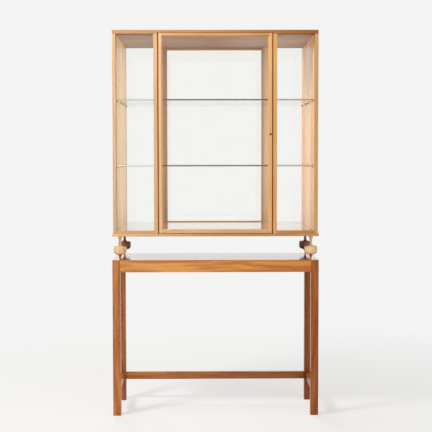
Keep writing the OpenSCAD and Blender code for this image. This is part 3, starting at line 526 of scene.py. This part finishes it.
@made_once("Long grain")
def wood_group(name):
    """Long grain that follows Z, with rings, fibres and pores, and darker end grain."""
    inputs = {
        "Vector": "Vector", "Normal": "Vector",
        "Light": (0.8, 0.5, 0.3, 1.0), "Dark": (0.6, 0.3, 0.15, 1.0),
        "Ring scale": 170.0, "Streaks": 85.0, "Roughness": 0.4, "Figure": 0.5, "Pores": 0.5,
    }
    tree, given, out = new_group(name, inputs, SURFACE)
    # The grain wanders slowly from side to side along the board
    wander = noise(tree, given["Vector"], Scale=2.2, Detail=1.0)
    drift = vector_math(tree, "SUBTRACT", wander["Color"], NOISE_MEAN)
    bent = vector_math(tree, "MULTIPLY_ADD", drift, GRAIN_DRIFT, given["Vector"])
    slow = vector_math(tree, "MULTIPLY", bent, RING_DRAW)
    fast = vector_math(tree, "MULTIPLY", bent, FIBRE_DRAW)
    # Rings round a heart that lies beside the board, wavering along its length
    rings = add(tree, "ShaderNodeTexWave", wave_type="RINGS", rings_direction="Z", wave_profile="SAW",
                Vector=slow, Scale=given["Ring scale"], Distortion=1.6, Detail=3.0,
                Detail_Scale=0.35, Detail_Roughness=0.55)
    late = math_node(tree, "POWER", rings.outputs["Fac"], LATE_POWER)
    # Broad streaks of lighter and darker wood, fine fibres, and pores as short dark dashes
    bands = noise(tree, slow, Scale=given["Streaks"], Detail=2.0, Roughness=0.55)
    broad = map_range(tree, bands[0], 0.40, 0.60)
    fibres = noise(tree, fast, Scale=900.0, Detail=4.0, Roughness=0.65)
    fibre = map_range(tree, fibres[0], 0.3, 0.7)
    dashes = noise(tree, fast, Scale=1500.0, Detail=1.0, Roughness=0.4)
    pore = times(tree, map_range(tree, dashes[0], 0.60, 0.72), given["Pores"])
    grown = plus(tree, times(tree, late, RING_SHARE), times(tree, broad, STREAK_SHARE))
    figure = times(tree, grown, given["Figure"])
    shade = plus(tree, figure, times(tree, fibre, FIBRE_SHARE), clamp=True)
    wood = mix_colour(tree, shade, given["Light"], given["Dark"])
    pored = mix_colour(tree, times(tree, pore, PORE_SHARE), wood, PORE_TONE, "MULTIPLY")
    # End grain is darker
    end = map_range(tree, math_node(tree, "ABSOLUTE", split(tree, given["Normal"])["Z"]), 0.75, 0.95)
    ended = mix_colour(tree, times(tree, end, END_SHARE), pored, END_TONE, "MULTIPLY")
    feed(ended, out["Color"])
    rough = plus(tree, given["Roughness"], times(tree, minus(tree, fibre, 0.5), FIBRE_ROUGHNESS))
    feed(plus(tree, rough, times(tree, end, END_ROUGHNESS), clamp=True), out["Roughness"])
    feed(minus(tree, times(tree, fibre, FIBRE_HEIGHT), pore), out["Height"])
    return tree


@made_once("Handled metal")
def metal_group(name):
    """Handled metal: a soft mottle in its colour and roughness, and fine brushing."""
    inputs = {"Vector": "Vector", "Color": (0.7, 0.5, 0.2, 1.0), "Roughness": 0.3, "Tarnish": 0.3}
    tree, given, out = new_group(name, inputs, SURFACE)
    mottle = noise(tree, given["Vector"], Scale=240.0, Detail=4.0, Roughness=0.6)
    share = times(tree, map_range(tree, mottle[0], 0.42, 0.72), given["Tarnish"])
    feed(mix_colour(tree, share, given["Color"], TARNISH_TONE, "MULTIPLY"), out["Color"])
    rough = plus(tree, given["Roughness"], times(tree, share, TARNISH_ROUGHNESS), clamp=True)
    feed(rough, out["Roughness"])
    feed(noise(tree, given["Vector"], Scale=2600.0, Detail=1.0)[0], out["Height"])
    return tree


# Materials

def new_material(name):
    """A material with its tree, its Principled shader and its output."""
    material = bpy.data.materials.new(name)
    material.use_nodes = True
    tree = material.node_tree
    tree.nodes.clear()
    shader = add(tree, "ShaderNodeBsdfPrincipled")
    output = add(tree, "ShaderNodeOutputMaterial", Surface=shader.outputs[0])
    return material, tree, shader, output


def bump(tree, shader, height, distance, strength):
    node = add(tree, "ShaderNodeBump", Strength=strength, Distance=distance, Height=height)
    put(shader, Normal=node.outputs[0])


def tone_along(tree, along, tones):
    """A tone that changes evenly from the first to the last of its tones."""
    tone = tones[0]
    gaps = len(tones) - 1
    for index, following in enumerate(tones[1:]):
        share = map_range(tree, along, index / gaps, (index + 1) / gaps)
        tone = mix_colour(tree, share, tone, following)
    return tone


def wood_material(name, light, dark, axis, seed, roughness, tones, rooms, figure=0.6, pores=0.5,
                  coat=0.0, specular=0.5, streaks=85.0):
    """Varnished wood whose grain runs along one axis; the seed moves the board in the tree."""
    woods = bpy.context.scene.cabinet_woods
    material, tree, shader, _ = new_material(name)
    place = add(tree, "ShaderNodeTexCoord").outputs
    shift = tuple(seed * step % room + start for step, room, start in SEED_SHIFTS)
    turn = add(tree, "ShaderNodeMapping", Vector=place["Object"], Location=shift, Rotation=GRAIN_TURN[axis])
    face = add(tree, "ShaderNodeMapping", vector_type="NORMAL", Vector=place["Normal"],
               Rotation=GRAIN_TURN[axis])
    grain = use_group(
        tree, wood_group(), Vector=turn.outputs[0], Normal=face.outputs[0], Light=light, Dark=dark,
        Ring_scale=1.0 / woods.ring_gap, Streaks=streaks, Roughness=roughness, Figure=figure, Pores=pores,
    ).outputs
    # The board's tones and its rooms' tones lay the wood's own tone and painted light, shade and reflection
    # over the grain
    across = map_range(tree, split(tree, place["Object"])["X"], -woods.half_width, woods.half_width)
    toned = mix_colour(tree, 1.0, grain["Color"], tone_along(tree, across, tones), "MULTIPLY")
    for (low, high), room_tones in rooms:
        within = use_group(tree, room_group(), Vector=place["Object"], Low=low, High=high).outputs["Mask"]
        toned = mix_colour(tree, within, toned, tone_along(tree, across, room_tones), "MULTIPLY")
    put(shader, Base_Color=toned, Roughness=grain["Roughness"], Coat_Roughness=woods.coat_rough,
        Specular_IOR_Level=specular)
    bump(tree, shader, grain["Height"], distance=GRAIN_DEPTH, strength=0.6)
    if coat > 0:
        # Only the faces that lie flat are rubbed to a gloss
        upward = math_node(tree, "ABSOLUTE", split(tree, place["Normal"])["Z"])
        level = math_node(tree, "GREATER_THAN", upward, LEVEL_FACE)
        put(shader, Coat_Weight=times(tree, level, coat))
    return material


def metal_material(name, tone):
    material, tree, shader, _ = new_material(name)
    roughness, tarnish = METAL_FINISH[name]
    place = add(tree, "ShaderNodeTexCoord").outputs
    skin = use_group(
        tree, metal_group(), Vector=place["Object"], Color=tone, Roughness=roughness, Tarnish=tarnish
    ).outputs
    put(shader, Base_Color=skin["Color"], Roughness=skin["Roughness"], Metallic=1.0)
    bump(tree, shader, skin["Height"], distance=BRUSH_DEPTH, strength=0.3)
    return material


def let_light_through(tree, shader, output):
    """Light from lamps and from lit surfaces passes straight through the glass."""
    clear = add(tree, "ShaderNodeBsdfTransparent")
    lit = by_ray(tree, "Is Diffuse Ray", shader, clear)
    put(output, Surface=by_ray(tree, "Is Shadow Ray", lit, clear).outputs[0])


def glass_material(name, tint, edge=None, ends=()):
    """Clear glass; with edge colours, the upright faces take them, one amid and one at each end, where they
    are a painted reflection of the side panels that also glows as painted light.
    """
    glass = bpy.context.scene.cabinet_glass
    material, tree, shader, output = new_material(name)
    put(shader, Base_Color=tint, Roughness=0.0, IOR=glass.glass_ior, Transmission_Weight=1.0)
    if edge is not None:
        place = add(tree, "ShaderNodeTexCoord").outputs
        flat = math_node(tree, "ABSOLUTE", split(tree, place["Normal"])["Z"])
        upright = map_range(tree, flat, 0.25, 0.75, 1.0, 0.0)
        from_middle = split(tree, place["Object"])["X"]
        # Painted reflection and painted glow: toward each end the shelf's upright faces take the side
        # panel's colour and give it out as emission, standing in for the light the faces pipe to its ends
        rim, edge_glow = edge, BLACK
        for side, end in zip((-1.0, 1.0), ends):
            share = map_range(tree, times(tree, from_middle, side), glass.edge_mid, glass.edge_far)
            rim = mix_colour(tree, share, rim, end)
            edge_glow = mix_colour(tree, times(tree, upright, share), edge_glow, end)
        polish = noise(tree, place["Object"], Scale=60.0, Detail=2.0)
        ground = map_range(tree, polish[0], 0.4, 0.7, 0.04, 0.12)
        put(shader, Base_Color=mix_colour(tree, upright, tint, rim), Roughness=times(tree, upright, ground),
            Emission_Color=edge_glow, Emission_Strength=glass.edge_glow)
    let_light_through(tree, shader, output)
    return material


def mirror_material(name, tint, glow_strength):
    """Silvered glass with a faint haze; to diffuse rays it glows instead, a painted glow that stands in for
    the studio light it would send back to what stands before it.
    """
    material, tree, shader, output = new_material(name)
    place = add(tree, "ShaderNodeTexCoord").outputs
    haze = noise(tree, place["Object"], Scale=9.0, Detail=3.0)
    soft = map_range(tree, haze[0], 0.5, 0.8)
    hazed = mix_colour(tree, soft, tint, tuple(part * HAZE_SHARE for part in tint))
    put(shader, Base_Color=hazed, Roughness=times(tree, soft, HAZE_ROUGHNESS), Metallic=1.0)
    # Painted glow: diffuse rays see the mirror as an emission of its tint, standing in for the studio light
    # it would reflect
    mirror_glow = add(tree, "ShaderNodeEmission", Color=tint, Strength=glow_strength)
    put(output, Surface=by_ray(tree, "Is Diffuse Ray", shader, mirror_glow).outputs[0])
    material.cycles.emission_sampling = "NONE"
    return material


def finish_node(name, material):
    """Gives a CAD node one material."""
    mesh = NODES[name].data
    if not mesh.materials:
        mesh.materials.append(material)
    for index in range(len(mesh.materials)):
        mesh.materials[index] = material


def board_look(name):
    """Tones of a board or foot, over all of it and within its rooms, which carry painted light and shade as
    well as the wood's tone.
    """
    return {"tones": BOARD_TONE_AND_SHADE.get(name, (PLAIN,)), "rooms": ROOM_LIGHT_AND_SHADE.get(name, ())}


def finish_boards(boards, stem, light, dark, first_seed, **settings):
    """One wood material for each board, so that no two show the same figure."""
    seed = first_seed
    for axis, names in boards.items():
        for name in names:
            finish = {**settings, **BOARD_FINISH.get(name, {}), **board_look(name)}
            finish_node(name, wood_material(f"{stem} {name}", light, dark, axis, seed, **finish))
            seed += 1


# Meshes

def new_piece(name, mesh):
    piece = bpy.data.objects.new(name, mesh)
    bpy.context.scene.collection.objects.link(piece)
    return piece


def loose_solids(node):
    """Points of each loose solid of a CAD node, from a merged copy of its mesh."""
    mesh = bmesh.new()
    mesh.from_mesh(NODES[node].data)
    bmesh.ops.remove_doubles(mesh, verts=mesh.verts, dist=TINY)
    mesh.verts.ensure_lookup_table()
    seen, solids = set(), []
    for start in mesh.verts:
        if start.index in seen:
            continue
        stack, points = [start], []
        seen.add(start.index)
        while stack:
            vert = stack.pop()
            points.append(vert.co.copy())
            for edge in vert.link_edges:
                other = edge.other_vert(vert)
                if other.index not in seen:
                    seen.add(other.index)
                    stack.append(other)
        solids.append(points)
    mesh.free()
    return solids


def fastener(points):
    """Ends, width and length of a pin or screw; the first end is the wider one."""
    low = Vector([min(point[i] for point in points) for i in range(3)])
    high = Vector([max(point[i] for point in points) for i in range(3)])
    size = high - low
    axis = max(range(3), key=lambda i: size[i])
    ends = []
    for corner in (low, high):
        end = (low + high) / 2
        end[axis] = corner[axis]
        spread = max((point - end).length for point in points if abs(point[axis] - end[axis]) < NEAR)
        ends.append((spread, end))
    ends.sort(key=lambda item: -item[0])
    return ends[0][1], ends[1][1], min(size), size[axis]


def new_shape_tree(name, sizes):
    """A geometry node tree with a mesh of places, its sizes, a seed and a material for inputs."""
    inputs = {"Places": "Geometry", **dict.fromkeys(sizes, "Float"), "Seed": "Int", "Material": "Material"}
    return new_group(name, inputs, {"Geometry": "Geometry"}, "GeometryNodeTree")


def profile_point(tree, radius, depth):
    """Position of a profile's point, by its distance from the axis and its depth under the head."""
    return join(tree, X=minus(tree, radius, LATHE_CORE), Y=depth)


def lathe(tree, count, position):
    """Turns a profile of so many points, placed by the position field, about Z."""
    line = add(tree, "GeometryNodeMeshLine", Count=count)
    placed = add(tree, "GeometryNodeSetPosition", Geometry=line.outputs[0], Position=position)
    profile = add(tree, "GeometryNodeMeshToCurve", Mesh=placed.outputs[0])
    path = add(tree, "GeometryNodeCurvePrimitiveCircle", Resolution=LATHE_SIDES, Radius=LATHE_CORE)
    body = add(tree, "GeometryNodeCurveToMesh", Curve=path.outputs[0], Profile_Curve=profile.outputs[0])
    return add(tree, "GeometryNodeMergeByDistance", Geometry=body.outputs[0], Distance=TINY).outputs[0]


def place_shapes(tree, given, out, shape):
    """Sets the shape on each place, facing as the place says and turned about its axis at random."""
    facing = add(tree, "GeometryNodeInputNamedAttribute", data_type="FLOAT_VECTOR", Name="facing")
    aimed = add(tree, "FunctionNodeAlignRotationToVector", axis="Z", Vector=facing.outputs["Attribute"])
    spin = add(tree, "FunctionNodeRandomValue", data_type="FLOAT", Seed=given["Seed"])
    for index, value in zip(RANDOM_RANGE_INPUTS, (0.0, math.pi)):
        feed(value, spin.inputs[index])
    turn = add(tree, "FunctionNodeEulerToRotation", Euler=join(tree, Z=spin.outputs[RANDOM_FLOAT_OUTPUT]))
    spun = add(tree, "FunctionNodeRotateRotation", rotation_space="LOCAL", Rotation=aimed.outputs[0],
               Rotate_By=turn.outputs[0])
    many = add(tree, "GeometryNodeInstanceOnPoints", Points=given["Places"], Instance=shape,
               Rotation=spun.outputs[0])
    real = add(tree, "GeometryNodeRealizeInstances", Geometry=many.outputs[0])
    smooth = add(tree, "GeometryNodeSetShadeSmooth", Geometry=real.outputs[0])
    clothed = add(tree, "GeometryNodeSetMaterial", Geometry=smooth.outputs[0], Material=given["Material"])
    feed(clothed.outputs[0], out["Geometry"])


@made_once("Slotted screws")
def screw_tree(name):
    """Slotted countersunk screws with a tapered tip."""
    tree, given, out = new_shape_tree(name, ("Head", "Shank", "Length", "Rim", "Slot"))
    head_r = times(tree, given["Head"], 0.5)
    shank_r = times(tree, given["Shank"], 0.5)
    sunk = minus(tree, head_r, shank_r)
    taper = times(tree, given["Length"], SCREW_TAPER)
    points = (
        (0.0, 0.0), (head_r, 0.0), (head_r, given["Rim"]), (shank_r, sunk), (shank_r, taper),
        (0.0, given["Length"]),
    )
    index = add(tree, "GeometryNodeInputIndex").outputs[0]
    chosen = add(tree, "GeometryNodeIndexSwitch", data_type="VECTOR", Index=index)
    while len(chosen.index_switch_items) < len(points):
        chosen.index_switch_items.new()
    for socket, (radius, depth) in zip(chosen.inputs[1:], points):
        feed(profile_point(tree, radius, depth), socket)
    body = lathe(tree, len(points), chosen.outputs[0])
    # The slot crosses the head and is half as deep as the sunk part
    size = join(tree, X=times(tree, given["Head"], SLOT_REACH),
                Y=times(tree, given["Head"], given["Slot"]), Z=sunk)
    slot = add(tree, "GeometryNodeMeshCube", Size=size)
    cut = add(tree, "GeometryNodeMeshBoolean", operation="DIFFERENCE", Mesh_1=body, Mesh_2=slot.outputs[0])
    place_shapes(tree, given, out, cut.outputs[0])
    return tree


@made_once("Domed pins")
def pin_tree(name):
    """Plain round pins with a domed tip."""
    tree, given, out = new_shape_tree(name, ("Width", "Length", "Dome"))
    index = add(tree, "GeometryNodeInputIndex").outputs[0]
    share = math_node(tree, "DIVIDE", index, float(DOME_STEPS), clamp=True)
    bend = times(tree, share, math.pi / 2)
    reach = times(tree, times(tree, given["Width"], 0.5), math_node(tree, "SINE", bend))
    # The last point of the profile lies on the axis, and the last two at the root
    radius = times(tree, reach, math_node(tree, "LESS_THAN", index, DOME_STEPS + 1.5))
    domed = times(tree, minus(tree, 1.0, math_node(tree, "COSINE", bend)), given["Dome"])
    beyond = math_node(tree, "GREATER_THAN", index, DOME_STEPS + 0.5)
    rest = times(tree, beyond, minus(tree, given["Length"], given["Dome"]))
    spot = profile_point(tree, radius, plus(tree, domed, rest))
    place_shapes(tree, given, out, lathe(tree, DOME_STEPS + 3, spot))
    return tree


def shaped(name, tree, places, values):
    """A plain mesh object that a tree makes on (place, facing) pairs."""
    mesh = bpy.data.meshes.new(f"{name}_places")
    mesh.from_pydata([place for place, _ in places], [], [])
    facing = mesh.attributes.new("facing", "FLOAT_VECTOR", "POINT")
    for item, (_, direction) in zip(facing.data, places):
        item.vector = direction
    piece = new_piece(name, mesh)
    modifier = piece.modifiers.new(tree.name, "NODES")
    modifier.node_group = tree
    for item in tree.interface.items_tree:
        if item.in_out == "INPUT" and item.name in values:
            modifier[item.identifier] = values[item.name]
    depsgraph = bpy.context.evaluated_depsgraph_get()
    result = bpy.data.meshes.new_from_object(piece.evaluated_get(depsgraph))
    if not result.polygons:
        raise RuntimeError(f"{tree.name} made no faces for {name}")
    piece.modifiers.clear()
    piece.data = result
    bpy.data.meshes.remove(mesh)
    result.name = name
    result.set_sharp_from_angle(angle=SHARP)
    return piece


def turned(name, outline, centre):
    """Turns a half outline of (radius, height) points about the vertical through centre."""
    mesh = bmesh.new()
    rings = []
    for radius, height in outline:
        if radius < TINY:
            rings.append([mesh.verts.new((centre.x, centre.y, height))])
            continue
        ring = []
        for i in range(FOOT_SIDES):
            turn = 2 * math.pi * i / FOOT_SIDES
            spot = (centre.x + radius * math.cos(turn), centre.y + radius * math.sin(turn), height)
            ring.append(mesh.verts.new(spot))
        rings.append(ring)
    for low, high in zip(rings, rings[1:]):
        for i in range(FOOT_SIDES):
            j = (i + 1) % FOOT_SIDES
            corners = []
            for vert in (low[i % len(low)], low[j % len(low)], high[j % len(high)], high[i % len(high)]):
                if vert not in corners:
                    corners.append(vert)
            if len(corners) > 2:
                mesh.faces.new(corners)
    bmesh.ops.recalc_face_normals(mesh, faces=mesh.faces)
    data = bpy.data.meshes.new(name)
    mesh.to_mesh(data)
    mesh.free()
    for face in data.polygons:
        face.use_smooth = True
    data.set_sharp_from_angle(angle=SHARP)
    return data


def arc(cx, cz, radius, start, end, steps=CURVE_STEPS):
    """Points of an arc in the outline's plane, angles in degrees."""
    points = []
    for i in range(steps + 1):
        turn = math.radians(start + (end - start) * i / steps)
        points.append((cx + radius * math.cos(turn), cz + radius * math.sin(turn)))
    return points


def upright_arc(radius, low, high, run):
    """Points of an arc that starts upright at low and has moved out by run at high."""
    rise = high - low
    bend = (rise * rise + run * run) / (2 * run)
    reach = math.degrees(math.asin(abs(rise) / bend))
    turn = -reach if rise > 0 else reach
    return arc(radius + bend, low, bend, 180, 180 + turn)


def foot_outline(low, high, sizes):
    """Half outline of a turned foot between the stand's top and the case."""
    disc_r = (high.x - low.x) / 2
    stand_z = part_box("stand_top")[1].z
    case_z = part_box("base_board")[0].z
    disc_z = stand_z + sizes.cone_h
    disc_top = disc_z + sizes.disc_h
    under = sizes.disc_under_r
    upper = sizes.disc_top_r
    point, neck = sizes.point_d / 2, sizes.neck_d / 2
    waist_z = disc_top + sizes.neck_fillet
    points = [(0.0, stand_z)]
    points += upright_arc(point, stand_z, disc_z, sizes.cone_d / 2 - point)
    points += arc(disc_r - under, disc_z + under, under, -90, 0)
    points += arc(disc_r - upper, disc_top - upper, upper, 0, 90, EDGE_STEPS)
    points += reversed(upright_arc(neck, waist_z, disc_top, sizes.neck_fillet)[1:])
    points += upright_arc(neck, waist_z, case_z, sizes.neck_high_d / 2 - neck)
    points.append((0.0, case_z))
    return points


# Operators

class CABINET_OT_case_wood(bpy.types.Operator):
    """Finish the case's and the door's boards"""

    bl_idname = "cabinet.case_wood"
    bl_label = "Case wood"

    def execute(self, context):
        woods = context.scene.cabinet_woods
        finish_boards(CASE_BOARDS, "Pale wood", woods.case_light, woods.case_dark, CASE_SEED,
                      roughness=woods.case_rough)
        finish_boards(BACK_BOARDS, "Back", woods.mirror_glow, woods.back_dark, BACK_SEED, **BACK_FINISH)
        return {"FINISHED"}


class CABINET_OT_stand_wood(bpy.types.Operator):
    """Finish the stand's legs, aprons, stretchers and top"""

    bl_idname = "cabinet.stand_wood"
    bl_label = "Stand wood"

    def execute(self, context):
        woods = context.scene.cabinet_woods
        finish_boards(STAND_BOARDS, "Stand", woods.stand_light, woods.stand_dark, STAND_SEED,
                      roughness=woods.stand_rough, **STAND_FINISH)
        return {"FINISHED"}


class CABINET_OT_feet(bpy.types.Operator):
    """Turn the four feet"""

    bl_idname = "cabinet.feet"
    bl_label = "Turned feet"

    def execute(self, context):
        woods = context.scene.cabinet_woods
        sizes = context.scene.cabinet_feet
        for seed, name in enumerate(FEET, FOOT_SEED):
            low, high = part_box(name)
            outline = foot_outline(low, high, sizes)
            data = turned(f"turned_{name}", outline, (low + high) / 2)
            piece = new_piece(f"turned_{name}", data)
            material = wood_material(f"Foot {name}", woods.foot_light, woods.foot_dark, "Z", seed,
                                     roughness=woods.foot_rough, **board_look(name))
            data.materials.append(material)
            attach(piece, "cabinet")
            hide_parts(name)
        return {"FINISHED"}


class CABINET_OT_glass(bpy.types.Operator):
    """Glaze the door, the side lights and the shelves, and silver the mirror"""

    bl_idname = "cabinet.glass"
    bl_label = "Glass and mirror"

    def execute(self, context):
        glass = context.scene.cabinet_glass
        pane = glass_material("Window glass", glass.pane_tint)
        for name in PANES:
            finish_node(name, pane)
        ends = (glass.edge_reflect_left, glass.edge_reflect_right)
        shelf = glass_material("Shelf glass", glass.shelf_tint, glass.edge_tint, ends)
        for name in SHELVES:
            finish_node(name, shelf)
        finish_node("mirror", mirror_material("Mirror", glass.mirror_tint, glass.glow_strength))
        return {"FINISHED"}


class CABINET_OT_metals(bpy.types.Operator):
    """Finish the brass plates and the lock, and drive the screws"""

    bl_idname = "cabinet.metals"
    bl_label = "Brass and steel"

    def execute(self, context):
        metals = context.scene.cabinet_metals
        brass = metal_material("Brass", metals.brass)
        dark = metal_material("Dark brass", metals.dark_brass)
        steel = metal_material("Screw steel", metals.steel)
        for name in BRASS_NODES:
            finish_node(name, brass)
        for name in DARK_BRASS_NODES:
            finish_node(name, dark)
        finishes = {"brass": brass, "screw_steel": steel}
        for seed, (name, (body, slot, shank)) in enumerate(SCREWS.items()):
            screws = [fastener(points) for points in loose_solids(name)]
            places = [(head, (head - tip).normalized()) for head, tip, _, _ in screws]
            values = {
                "Head": screws[0][2], "Shank": shank, "Length": screws[0][3], "Rim": metals.head_rim,
                "Slot": metals.slot_share, "Seed": seed, "Material": finishes[slot],
            }
            piece = shaped(f"slotted_{name}", screw_tree(), places, values)
            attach(piece, body)
            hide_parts(name)
        return {"FINISHED"}


class CABINET_OT_pins(bpy.types.Operator):
    """Set the domed brass pins under the shelves"""

    bl_idname = "cabinet.pins"
    bl_label = "Shelf pins"

    def execute(self, context):
        metals = context.scene.cabinet_metals
        pins = [fastener(points) for points in loose_solids("shelf_pins")]
        places = []
        for ends in pins:
            tip, root = sorted(ends[:2], key=lambda end: abs(end.x))
            places.append((tip, (tip - root).normalized()))
        values = {
            "Width": pins[0][2], "Length": pins[0][3], "Dome": metals.pin_dome, "Seed": 0,
            "Material": metal_material("Pin brass", metals.brass),
        }
        piece = shaped("domed_shelf_pins", pin_tree(), places, values)
        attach(piece, "cabinet")
        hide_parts("shelf_pins")
        return {"FINISHED"}


class CABINET_OT_stage(bpy.types.Operator):
    """Set the floor, the backdrop, the lamps and the camera"""

    bl_idname = "cabinet.stage"
    bl_label = "Studio"

    def execute(self, context):
        studio = context.scene.cabinet_studio
        make_floor(studio)
        make_world(studio)
        for name, lamp in LAMPS.items():
            add_lamp(name, getattr(studio, f"{name}_power"), *lamp)
        make_camera(studio)
        context.scene.view_settings.view_transform = "Standard"
        return {"FINISHED"}


def background_colour(tree, studio):
    """The backdrop's colour, paler in glass and gloss, and a mask of the rays that show it."""
    path = add(tree, "ShaderNodeLightPath").outputs
    by_glass = math_node(tree, "MAXIMUM", path["Is Glossy Ray"], path["Is Transmission Ray"])
    shown = math_node(tree, "MAXIMUM", path["Is Camera Ray"], by_glass)
    return mix_colour(tree, path["Is Camera Ray"], studio.reflected, studio.backdrop), shown


def make_floor(studio):
    """A wide pale floor that turns into the backdrop's tone away from the object."""
    mesh = bpy.data.meshes.new("studio_floor")
    corners = [(x * FLOOR_REACH, y * FLOOR_REACH, 0) for x, y in ((-1, -1), (1, -1), (1, 1), (-1, 1))]
    mesh.from_pydata(corners, [], [(0, 1, 2, 3)])
    floor = new_piece("studio_floor", mesh)
    material, tree, shader, output = new_material("Studio floor")
    put(shader, Base_Color=studio.floor_tone, Roughness=0.9, Specular_IOR_Level=0.0)
    distance = vector_math(tree, "LENGTH", add(tree, "ShaderNodeTexCoord").outputs["Object"])
    away = map_range(tree, distance, studio.wash_near, studio.wash_far, studio.floor_wash, 1.0)
    tone, shown = background_colour(tree, studio)
    wash = add(tree, "ShaderNodeEmission", Color=tone)
    put(output, Surface=mix_shaders(tree, times(tree, away, shown), shader, wash).outputs[0])
    mesh.materials.append(material)


def make_world(studio):
    world = bpy.data.worlds.new("Studio")
    world.use_nodes = True
    tree = world.node_tree
    tree.nodes.clear()
    tone, shown = background_colour(tree, studio)
    seen = add(tree, "ShaderNodeBackground", Color=tone)
    even = add(tree, "ShaderNodeBackground", Color=WHITE, Strength=studio.ambient)
    add(tree, "ShaderNodeOutputWorld", Surface=mix_shaders(tree, shown, even, seen).outputs[0])
    bpy.context.scene.world = world


def add_lamp(name, power, place, target, width, tone):
    lamp = bpy.data.lights.new(name, "AREA")
    lamp.shape = "SQUARE"
    lamp.size = width
    lamp.energy = power
    lamp.color = tone
    holder = new_piece(name, lamp)
    aim = (Vector(target) - Vector(place)).to_track_quat("-Z", "Y")
    holder.matrix_world = Matrix.Translation(place) @ aim.to_matrix().to_4x4()
    holder.visible_camera = False
    holder.visible_glossy = False
    holder.visible_transmission = False


def make_camera(studio):
    camera = bpy.data.cameras.new("camera")
    camera.sensor_fit = "HORIZONTAL"
    camera.sensor_width = SENSOR_WIDTH
    camera.lens = studio.focal
    camera.clip_end = CLIP_END
    holder = new_piece("camera", camera)
    level = math.pi / 2
    turn = (Matrix.Rotation(studio.camera_pan, 4, "Z") @ Matrix.Rotation(level + studio.camera_tilt, 4, "X")
            @ Matrix.Rotation(studio.camera_roll, 4, "Z"))
    holder.matrix_world = Matrix.Translation((studio.camera_x, studio.camera_y, studio.camera_z)) @ turn
    bpy.context.scene.camera = holder


# Panel and registration

STEPS = (
    CABINET_OT_stage, CABINET_OT_case_wood, CABINET_OT_stand_wood, CABINET_OT_feet,
    CABINET_OT_glass, CABINET_OT_metals, CABINET_OT_pins,
)
GROUPS = {
    "cabinet_woods": CabinetWoods,
    "cabinet_glass": CabinetGlass,
    "cabinet_metals": CabinetMetals,
    "cabinet_feet": CabinetFeet,
    "cabinet_studio": CabinetStudio,
}


class CABINET_PT_panel(bpy.types.Panel):
    """Sidebar panel with the cabinet's values and steps"""

    bl_idname = "CABINET_PT_panel"
    bl_label = "Display cabinet"
    bl_space_type = "VIEW_3D"
    bl_region_type = "UI"
    bl_category = "Cabinet"

    def draw(self, context):
        for key, group in GROUPS.items():
            box = self.layout.box()
            box.label(text=group.__doc__)
            for field in group.__annotations__:
                box.prop(getattr(context.scene, key), field)
        for step in STEPS:
            self.layout.operator(step.bl_idname)


def register():
    for item in (*GROUPS.values(), *STEPS, CABINET_PT_panel):
        bpy.utils.register_class(item)
    for key, group in GROUPS.items():
        setattr(bpy.types.Scene, key, PointerProperty(type=group))


def unregister():
    for key in GROUPS:
        delattr(bpy.types.Scene, key)
    for item in reversed((*GROUPS.values(), *STEPS, CABINET_PT_panel)):
        bpy.utils.unregister_class(item)


def main():
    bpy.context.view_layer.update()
    register()
    bpy.ops.cabinet.stage()
    bpy.ops.cabinet.case_wood()
    bpy.ops.cabinet.stand_wood()
    bpy.ops.cabinet.feet()
    bpy.ops.cabinet.glass()
    bpy.ops.cabinet.metals()
    bpy.ops.cabinet.pins()


if __name__ == "__main__":
    main()
